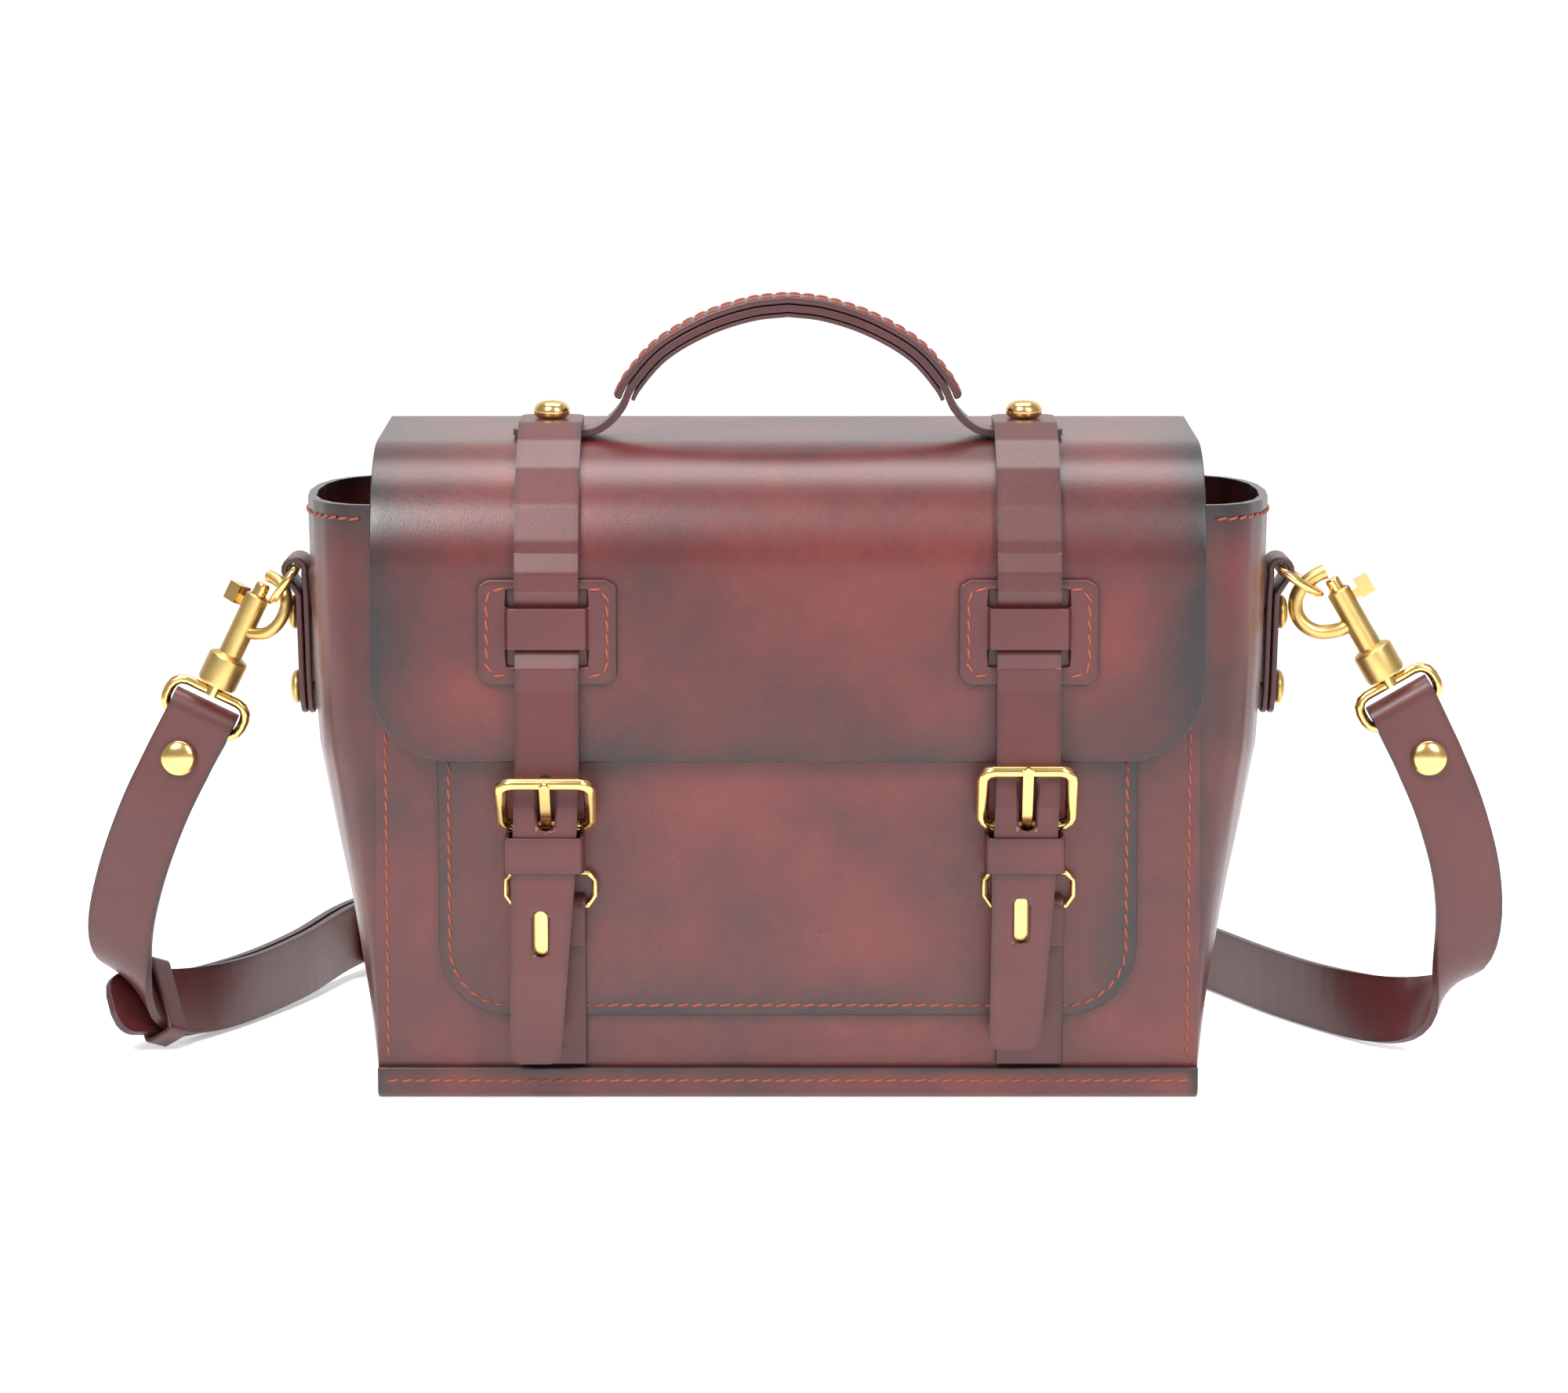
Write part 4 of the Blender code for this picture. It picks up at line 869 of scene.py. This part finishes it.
def build_hook(side, word):
    centre, up, toward, mouth = hook_frame(side)
    place = placed(centre, up, mouth)
    body = [(2.6, 25), (3.6, 24.4), (3.6, 5.6), (5.6, 4.6), (6, 4), (6, -3.6), (5.5, -4.5), (2.7, -4.5),
            (2.7, 1),
            (0, 1)]
    bored = [(0, 6), (2.6, 6)] + body
    hook = to_mesh(turned(f"hook_body_{word}", [(r * MM, h * MM) for r, h in bored], place, BRASS, 14))
    bow = [Vector(p) for p in ((14.2, 2.9), (14.3, 5.5), (16.4, 10.4), (20, 13.3), (24.4, 13.9), (28.4, 12),
                              (30.9, 8.4), (31.6, 4), (31.4, 0.4))]
    points = [centre + up * p.x * MM + mouth * p.y * BOW_REACH[side] * MM for p in smooth(bow, 2)]
    arm = to_mesh(wire(f"bow_{word}", points, BOW_WIRE[side], BRASS))
    boolean(hook, arm, "UNION")
    rail = slab(f"rail_{word}", (-8 * MM, -0.9 * MM, 9 * MM), (-0.5 * MM, 0.9 * MM, 30 * MM), None, CUTTERS)
    rail.data.transform(place)
    boolean(hook, rail)
    bolt = to_mesh(turned(f"hook_bolt_{word}", [(r * MM, h * MM) for r, h in
                                                ((0, 28.8), (1.7, 28.7), (2.2, 28), (2.2, 15), (0, 15))],
                          place, BRASS, 12))
    stem = slab(f"stem_{word}", (-7 * MM, -0.6 * MM, 20 * MM), (-0.8 * MM, 0.6 * MM, 22.5 * MM), None,
                CUTTERS)
    stem.data.transform(place)
    boolean(bolt, stem, "UNION")
    thumb = slab(f"thumb_{word}", (-9.5 * MM, -2.6 * MM, 19.5 * MM), (-5.2 * MM, 2.6 * MM, 25 * MM), None,
                 CUTTERS)
    thumb.data.transform(place)
    boolean(bolt, thumb, "UNION")
    coil = []
    turns, per_turn = 5, 7
    for i in range(turns * per_turn + 1):
        angle = 2 * math.pi * i / per_turn
        coil.append(place @ Vector((1.8 * MM * math.cos(angle), 1.8 * MM * math.sin(angle),
                                    (6.8 + 7.4 * i / (turns * per_turn)) * MM)))
    wire(f"hook_spring_{word}", coil, 0.35 * MM, STEEL, sides=2)
    stem_profile = [(0, 0.2), (2.2, 0.2), (2.2, -8), (0, -8)]
    eye = to_mesh(turned(f"swivel_eye_{word}", [(r * MM, h * MM) for r, h in stem_profile],
                         placed(centre, up, toward), BRASS, 12))
    loop = []
    for sx, sz, start in ((1, -1, -90), (1, 1, 0), (-1, 1, 90), (-1, -1, 180)):
        for i in range(4):
            angle = math.radians(start + 30 * i)
            loop.append(centre + toward * (sx * 8 + 4 * math.cos(angle)) * MM
                        + up * (4 * MM - EYE_BAR + (1 + sz) * 1.2 * MM + 4 * MM * math.sin(angle)))
    ring = to_mesh(wire(f"eye_wire_{word}", loop, 1.5 * MM, BRASS, True))
    boolean(eye, ring, "UNION")


# Shoulder strap: route of the leather's middle, and the direction from its outer to its inner edge,
# which turns to point down where the strap stands on the table

DOWN = (0, 0, -1)
ROUTE_RIGHT = (
    ((188.0, -3.6, 91.5), (-0.90, 0.00, -0.44)), ((194.5, -3.6, 76), (-0.90, 0.00, -0.40)),
    ((199.8, -2.5, 57), (-0.90, -0.06, -0.38)), ((201.0, 0.0, 39), (-0.86, -0.14, -0.45)),
    ((197.5, 4.0, 24), (-0.72, -0.28, -0.62)), ((189.5, 11.0, 14.5), (-0.46, -0.30, -0.82)),
    ((178.5, 22.0, 11.0), (-0.22, -0.14, -0.95)), ((163.0, 44.0, 10.4), DOWN), ((148.0, 74.0, 10.4), DOWN),
    ((132.0, 114.0, 10.4), DOWN), ((110.0, 158.0, 10.4), DOWN), ((78.0, 196.0, 10.4), DOWN),
    ((34.0, 221.0, 10.6), DOWN), ((-14.0, 230.0, 11.8), DOWN), ((-56.0, 222.0, 13.8), DOWN),
)
ROUTE_LEFT = (
    ((-178.5, -3.6, 91.5), (0.90, 0.00, -0.44)), ((-186.5, -3.6, 75), (0.90, 0.00, -0.40)),
    ((-193.5, -2.0, 56), (0.90, -0.06, -0.38)), ((-197.5, 2.0, 38), (0.86, -0.14, -0.45)),
    ((-196.0, 8.0, 24.5), (0.72, -0.28, -0.62)), ((-189.5, 18.0, 15.5), (0.46, -0.30, -0.82)),
    ((-179.0, 33.0, 11.6), (0.22, -0.14, -0.95)), ((-165.0, 56.0, 11), DOWN), ((-151.0, 91.0, 12), DOWN),
    ((-138.0, 132.0, 14.2), DOWN), ((-118.0, 172.0, 14.8), DOWN),
)
def route(stations, steps):
    """Smoothed centres, width directions and face normals along a route."""
    centres = smooth([Vector(p) * MM for p, _ in stations], steps)
    sides = smooth([Vector(s) for _, s in stations], steps)
    normals = []
    for i, side in enumerate(sides):
        along = (centres[min(i + 1, len(centres) - 1)] - centres[max(i - 1, 0)]).normalized()
        sides[i] = (side - along * side.dot(along)).normalized()
        normals.append(along.cross(sides[i]))
    return centres, sides, normals


def ring_fold(side, centres):
    """Points of a strap's end from behind the stud, up and over the eye's lower bar."""
    collar, up, toward, _ = hook_frame(side)
    bar = collar - up * EYE_BAR
    back = Vector((0, 1, 0))
    rise = bar - centres[0]
    rise = Vector((rise.x, 0, rise.z)).normalized()
    tail = centres[0] + back * LAYER
    fold = [tail + (centres[1] - centres[0]).normalized() * 8 * MM, tail,
            tail + rise * 3 * MM, tail + rise * 7.2 * MM + back * 4.2 * MM]
    for i in range(7):
        angle = math.pi * i / 6
        fold.append(bar + back * 3.7 * MM * math.cos(angle) + up * (2.6 + 3.7 * math.sin(angle)) * MM)
    return fold, [toward] * len(fold)


def back_from_end(centres, normals, distance):
    """The point and normal this far back along a route from its end."""
    for i in range(len(centres) - 1, 0, -1):
        step = (centres[i] - centres[i - 1]).length
        if distance <= step:
            share = distance / step
            return centres[i].lerp(centres[i - 1], share), normals[i].lerp(normals[i - 1], share)
        distance -= step
    return centres[0], normals[0]


def build_shoulder():
    down = Vector(DOWN)
    left, left_sides, left_normals = route(ROUTE_LEFT, 3)
    right, right_sides, _ = route(ROUTE_RIGHT, 2)
    along = (left[-1] - left[-2]).normalized()
    out = left_normals[-1]
    pivot = left[-1] - out * 3.3 * MM
    fold = [pivot + (out * math.cos(math.pi * i / 6) + along * math.sin(math.pi * i / 6)) * 3.3 * MM
            for i in range(1, 7)]
    for distance, lift in ((4, 6.0), (8, 4.2), (12, 3.1), (17, 2.75), (24, 2.7), (32, 2.7), (40, 2.7), (46,
                                                                                                        2.7)):
        point, normal = back_from_end(left, left_normals, distance * MM)
        fold.append(point - normal * lift * MM)
    start, start_sides = ring_fold(-1, left)
    short = ribbon("shoulder_strap_short", start + left + fold, start_sides + left_sides + [down] * len(fold),
                   SHOULDER, SHOULDER_THICK, STRAP_LEATHER, (4 * MM, 6 * MM))
    through = [pivot + along * a * MM + out * o * MM for a, o in ((26, -1.5), (17, 1.5), (9, 4.9), (3, 6.6))]
    bend = 15 * FINE  # the tail leaves the short strap where that turns up
    tail = [left[i] + left_normals[i] * (LAYER + 0.9 * MM) for i in range(len(left) - 1, bend, -1)]
    last = (tail[-1] - tail[-2]).normalized()
    away = left_normals[bend + 1] * MM
    tail += [tail[-1] + last * 7 * MM + away * 0.5, tail[-1] + last * 17 * MM + away * 2]
    tail_sides = [left_sides[i] for i in range(len(left) - 1, bend, -1)] + [left_sides[bend + 1]] * 2
    start, start_sides = ring_fold(1, right)
    long = ribbon("shoulder_strap_long", start + right + through + tail,
                  start_sides + right_sides + [down] * len(through) + tail_sides, SHOULDER, SHOULDER_THICK,
                  STRAP_LEATHER, (4 * MM, 7 * MM))
    build_strap_buckle(pivot, along, out)
    k = bend + 1
    middle = left[k] + left_normals[k] * LAYER / 2
    forward = (left[k + 1] - left[k - 1]).normalized()
    across, thick = SHOULDER / 2 + 2.2 * MM, LAYER + 1.9 * MM
    band = filleted([(0, thick), (across, thick), (across, -thick), (-across, -thick), (-across, thick), (0,
                                                                                                          thick)],
                    [1.5 * MM] * 4, 3)[:-1]
    rows = [[middle + forward * s * MM + left_sides[k] * p.x + left_normals[k] * p.y for p in band]
            for s in (-4, 4)]
    shell("shoulder_keeper", rows, 1.4 * MM, STRAP_LEATHER, closed=True)
    front = Vector((0, -1, 0))
    for word, centre, strap in (("left", left[0], short), ("right", right[0], long)):
        shoulder_stud(f"shoulder_stud_{word}", centre, front, True, strap)
    point, normal = back_from_end(left, left_normals, 38 * MM)
    shoulder_stud("shoulder_stud_back", point - normal * LAYER, -normal, False, short)


def shoulder_stud(name, layer, direction, capped, strap):
    """Domed stud through two layers; layer is the middle of the layer under the dome."""
    seat = layer + direction.normalized() * (SHOULDER_THICK / 2 + GAP)
    profile = [(r * MM, h * 0.62 * MM) for r, h in STUD]
    depth = -(2 * LAYER + GAP) if capped else -(2 * LAYER - 0.6 * MM)
    profile += [(1.4 * MM, depth)]
    if capped:
        profile += [(2.6 * MM, depth), (2.6 * MM, depth - 0.8 * MM), (0, depth - 0.8 * MM)]
    else:
        profile += [(0, depth)]
    turned(name, profile, placed(seat, direction, (0, 0, 1)), BRASS, 10)
    drill(f"hole_{name}", seat, direction, 1.8 * MM, 7 * MM, (strap,))


def build_strap_buckle(pivot, along, out):
    """Adjusting buckle of the shoulder strap, its pivot bar in the short strap's fold."""
    length, wide, corner = 17 * MM, 12.4 * MM, 3 * MM
    lean = math.radians(18)
    forth = along * math.cos(lean) + out * math.sin(lean)
    face = out * math.cos(lean) - along * math.sin(lean)
    across = Vector((0, 0, 1))
    ring = []
    for sx, sz, start in ((1, 0, -90), (1, 1, 0), (-1, 1, 90), (-1, 0, 180)):
        for i in range(4):
            angle = math.radians(start + 30 * i)
            reach = (corner if sz == 0 else length - corner) + corner * math.sin(angle)
            ring.append(pivot + across * (sx * (wide - corner) + corner * math.cos(angle)) + forth * reach)
    wire("shoulder_buckle", ring, 1.6 * MM, BRASS, True)


def build_all():
    build_body()
    flap = build_flap()
    handle = build_handle()
    for side, word in SIDES.items():
        build_patch(side, word)
        strap = build_closure(side, word)
        build_buckle(side, word)
        build_clasp(side, word)
        build_top_stud(side, word, (strap, handle, flap))
        build_tab(side, word, own(f"gusset_{word}"))
        build_ring(side, word)
        build_hook(side, word)
    build_shoulder()


# Thread


STITCH_PITCH = 4 * MM


def stitches(name, path, normals, body, slant=0.18):
    """Slanted thread stitches along a path on a surface, as one mesh."""
    length = [0.0]
    for a, b in zip(path, path[1:]):
        length.append(length[-1] + (b - a).length)
    count = max(1, round(length[-1] / STITCH_PITCH))
    step = length[-1] / count
    work = bmesh.new()
    for i in range(count):
        middle = (i + 0.5) * step
        k = max(j for j in range(len(length) - 1) if length[j] <= middle)
        share = (middle - length[k]) / max(length[k + 1] - length[k], 1e-9)
        point = path[k].lerp(path[k + 1], share)
        normal = normals[k].normalized()
        along = (path[k + 1] - path[k]).normalized()
        side = normal.cross(along)
        along = (along + side * slant).normalized()
        side = normal.cross(along)
        half, radius = step * 0.42, 0.42 * MM
        rings = []
        for t, size in ((-1, 0.25), (-0.75, 0.85), (0, 1.0), (0.75, 0.85), (1, 0.25)):
            centre = point + along * half * t + normal * radius * (0.35 * (1 - t * t) - 0.1)
            rings.append([work.verts.new(centre + (side * math.cos(a) + normal * math.sin(a)) * radius * size)
                          for a in (math.tau * j / 8 for j in range(8))])
        for a, b in zip(rings, rings[1:]):
            for j in range(8):
                work.faces.new((a[j], a[(j + 1) % 8], b[(j + 1) % 8], b[j]))
        work.faces.new(list(reversed(rings[0])))
        work.faces.new(rings[-1])
    bmesh.ops.recalc_face_normals(work, faces=work.faces)
    mesh = bpy.data.meshes.new(name)
    work.to_mesh(mesh)
    work.free()
    mesh.shade_smooth()
    obj = put(bpy.data.objects.new(name, mesh), THREAD)
    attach(obj, body)


def sew():
    """Every visible row of stitches."""
    front = Vector((0, -1, 0))
    proud = 0.05 * MM
    for side, word in SIDES.items():
        x = side * (BODY_HALF - 3 * MM)
        path = [Vector((x, -BODY_FRONT - proud, z * MM)) for z in (11, 165)]
        stitches(f"panel_stitches_{word}", path, [front] * 2, "root")
        rim = []
        for j in range(41):
            angle = math.pi * j / 40
            depth = BODY_FRONT - PANEL - GAP - GUSSET / 2
            height = BODY_TOP - 4 * MM
            y = -depth * math.copysign(abs(math.cos(angle)) ** 0.8, math.cos(angle))
            x = BODY_HALF - GUSSET / 2 - 0.6 * MM + (bulge(height) + 0.6 * MM) * math.sin(angle) ** 0.8
            rim.append(Vector((side * x, y, height)))
        normals = []
        for a, b in zip(rim, rim[1:] + [rim[-1] * 2 - rim[-2]]):
            along = (b - a).normalized()
            normals.append(Vector((along.y, -along.x, 0)) * side)
        path = [p + n * (GUSSET / 2 + proud) for p, n in zip(rim, normals)]
        stitches(f"rim_stitches_{word}", path[2:-2], normals[2:-2], "root")
        x0 = side * STRAP_X
        y = -(FLAP_FRONT + FLAP / 2 + GAP + PATCH + proud)
        low, high, out, corner = PATCH_LOW + 2.7, PATCH_TOP - 2.7, 17.0, 4.0
        for hand in (-1, 1):
            outline = [(11.5, high), (out, high), (out, low), (11.5, low)]
            line = filleted([(hand * a, b) for a, b in outline], (corner, corner), 4)
            path = [Vector((x0 + p.x * MM, y, p.y * MM)) for p in line]
            stitches(f"patch_stitches_{word}_{'outer' if hand == side else 'inner'}", path,
                     [front] * len(path), "flap")
    y = -(BODY_FRONT + GAP + POCKET + proud)
    inset, corner = 3 * MM, POCKET_CORNER - 3 * MM
    half = POCKET_HALF - inset
    outline = [(-half, POCKET_TOP - 4 * MM), (-half, POCKET_BOTTOM + inset), (half, POCKET_BOTTOM + inset),
               (half, POCKET_TOP - 4 * MM)]
    path = [Vector((p.x, y, p.y)) for p in filleted(outline, (corner, corner), 8)]
    stitches("pocket_stitches", path, [front] * len(path), "root")
    y = -(BODY_FRONT + GAP + BASE + proud)
    for word, sign in (("front", 1), ("back", -1)):
        path = [Vector((x * MM, y * sign, 5.2 * MM)) for x in (-115, 115)]
        stitches(f"base_stitches_{word}", path, [front * sign] * 2, "root")
    arch = [p for p in handle_path() if p.y > 197 * MM]
    top = offset(arch, HANDLE_THICK / 2 + GAP + 2 * MM + proud)
    for word, sign in (("front", -1), ("back", 1)):
        path = [Vector((p.x, STUD_Y + sign * 7 * MM, p.y)) for p in top]
        normals = []
        for a, b in zip(path, path[1:] + [path[-1] * 2 - path[-2]]):
            along = (b - a).normalized()
            normals.append(Vector((-along.z, 0, along.x)))
        stitches(f"handle_stitches_{word}", path, normals, "flap")


# Onto the frame


def settle(obj):
    """The piece with its cuts and edges applied, in the row's frame."""
    bpy.context.view_layer.update()
    graph = bpy.context.evaluated_depsgraph_get()
    mesh = bpy.data.meshes.new_from_object(obj.evaluated_get(graph))
    mesh.transform(obj.matrix_world)
    mesh.shade_smooth()
    return mesh


def dress():
    """Each piece takes the place of its CAD node and rides on that node's body."""
    body_of = {n: body for body, nodes in frame["record"]["behaviour"]["bodies"].items() for n in nodes}
    built = {}
    for obj in list(SATCHEL.objects):
        key = obj.get("node", obj.name.split(".")[0])
        if key in body_of:
            built[key] = (obj, settle(obj))
    missing = sorted(set(body_of) - set(built))
    if missing:
        raise RuntimeError(f"no visual for {missing}")
    for key, (obj, mesh) in built.items():
        mat = obj.data.materials[0] if obj.data.materials else BRASS
        bpy.data.objects.remove(obj)
        piece = bpy.data.objects.new(f"look_{key}", mesh)
        SATCHEL.objects.link(piece)
        mesh.materials.clear()
        mesh.materials.append(mat)
        if key.startswith(("hook_body", "tab_rivet")) and mat == BRASS:
            mesh.materials[0] = SATIN
        if mat in (BRASS, STEEL) or key in ("front_panel", "back_panel"):
            round_off = piece.modifiers.new("edges", "BEVEL")
            round_off.width = 0.25 * MM
            round_off.segments = 2
            round_off.limit_method = "ANGLE"
            round_off.angle_limit = math.radians(45)
        sharp = piece.modifiers.new("normals", "WEIGHTED_NORMAL")
        sharp.keep_sharp = True
        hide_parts(key)
        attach(piece, body_of[key])
    for obj in list(CUTTERS.objects):
        bpy.data.objects.remove(obj)


# Floor, light and camera


def area(name, place, size, power, target=(0, 0, 0.09), colour=(1, 1, 1)):
    light = bpy.data.lights.new(name, "AREA")
    light.shape = "RECTANGLE"
    light.size, light.size_y = size
    light.energy = power
    light.color = colour
    obj = bpy.data.objects.new(name, light)
    obj.location = place
    obj.rotation_euler = (Vector(target) - Vector(place)).to_track_quat("-Z", "Y").to_euler()
    bpy.context.scene.collection.objects.link(obj)


def studio():
    mesh = bpy.data.meshes.new("floor")
    sweep = [(-6, 0), (1.6, 0)]
    sweep += [(1.6 + 1.2 * math.sin(a),
               1.2 - 1.2 * math.cos(a)) for a in (math.pi / 2 * i / 12 for i in range(1, 13))]
    sweep.append((2.8, 5))
    points = [(x, y, z) for y, z in sweep for x in (-6, 6)]
    mesh.from_pydata(points, [], [(2 * i, 2 * i + 1, 2 * i + 3, 2 * i + 2) for i in range(len(sweep) - 1)])
    mesh.shade_smooth()
    floor = bpy.data.objects.new("floor", mesh)
    bpy.context.scene.collection.objects.link(floor)
    floor.location.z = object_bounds()[0][2] - 0.05 * MM
    made, _, shader = new_material("paper")
    shader.inputs["Base Color"].default_value = (0.9, 0.9, 0.9, 1)
    shader.inputs["Roughness"].default_value = 0.8
    shader.inputs["Emission Color"].default_value = (1, 1, 1, 1)
    shader.inputs["Emission Strength"].default_value = 0.38
    mesh.materials.append(made)
    floor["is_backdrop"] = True
    world = bpy.data.worlds.new("studio")
    world.use_nodes = True
    world.node_tree.nodes["Background"].inputs["Color"].default_value = (1, 1, 1, 1)
    world.node_tree.nodes["Background"].inputs["Strength"].default_value = 0.42
    bpy.context.scene.world = world
    area("key", (-0.42, -0.75, 0.85), (0.4, 0.5), 13)
    area("fill", (0.55, -0.8, 0.7), (0.35, 0.6), 9)
    area("top", (0, 0.1, 1.2), (1.0, 0.5), 10)
    lens = bpy.data.cameras.new("camera")
    lens.sensor_width = 36
    lens.lens = 121.5
    camera = bpy.data.objects.new("camera", lens)
    camera.location = (-0.0011, -1.5401, 0.3199)
    camera.rotation_euler = (math.radians(82.2), 0, 0)
    bpy.context.scene.collection.objects.link(camera)
    bpy.context.scene.camera = camera
    bpy.context.scene.view_settings.view_transform = "Standard"


build_all()
dress()
sew()
studio()
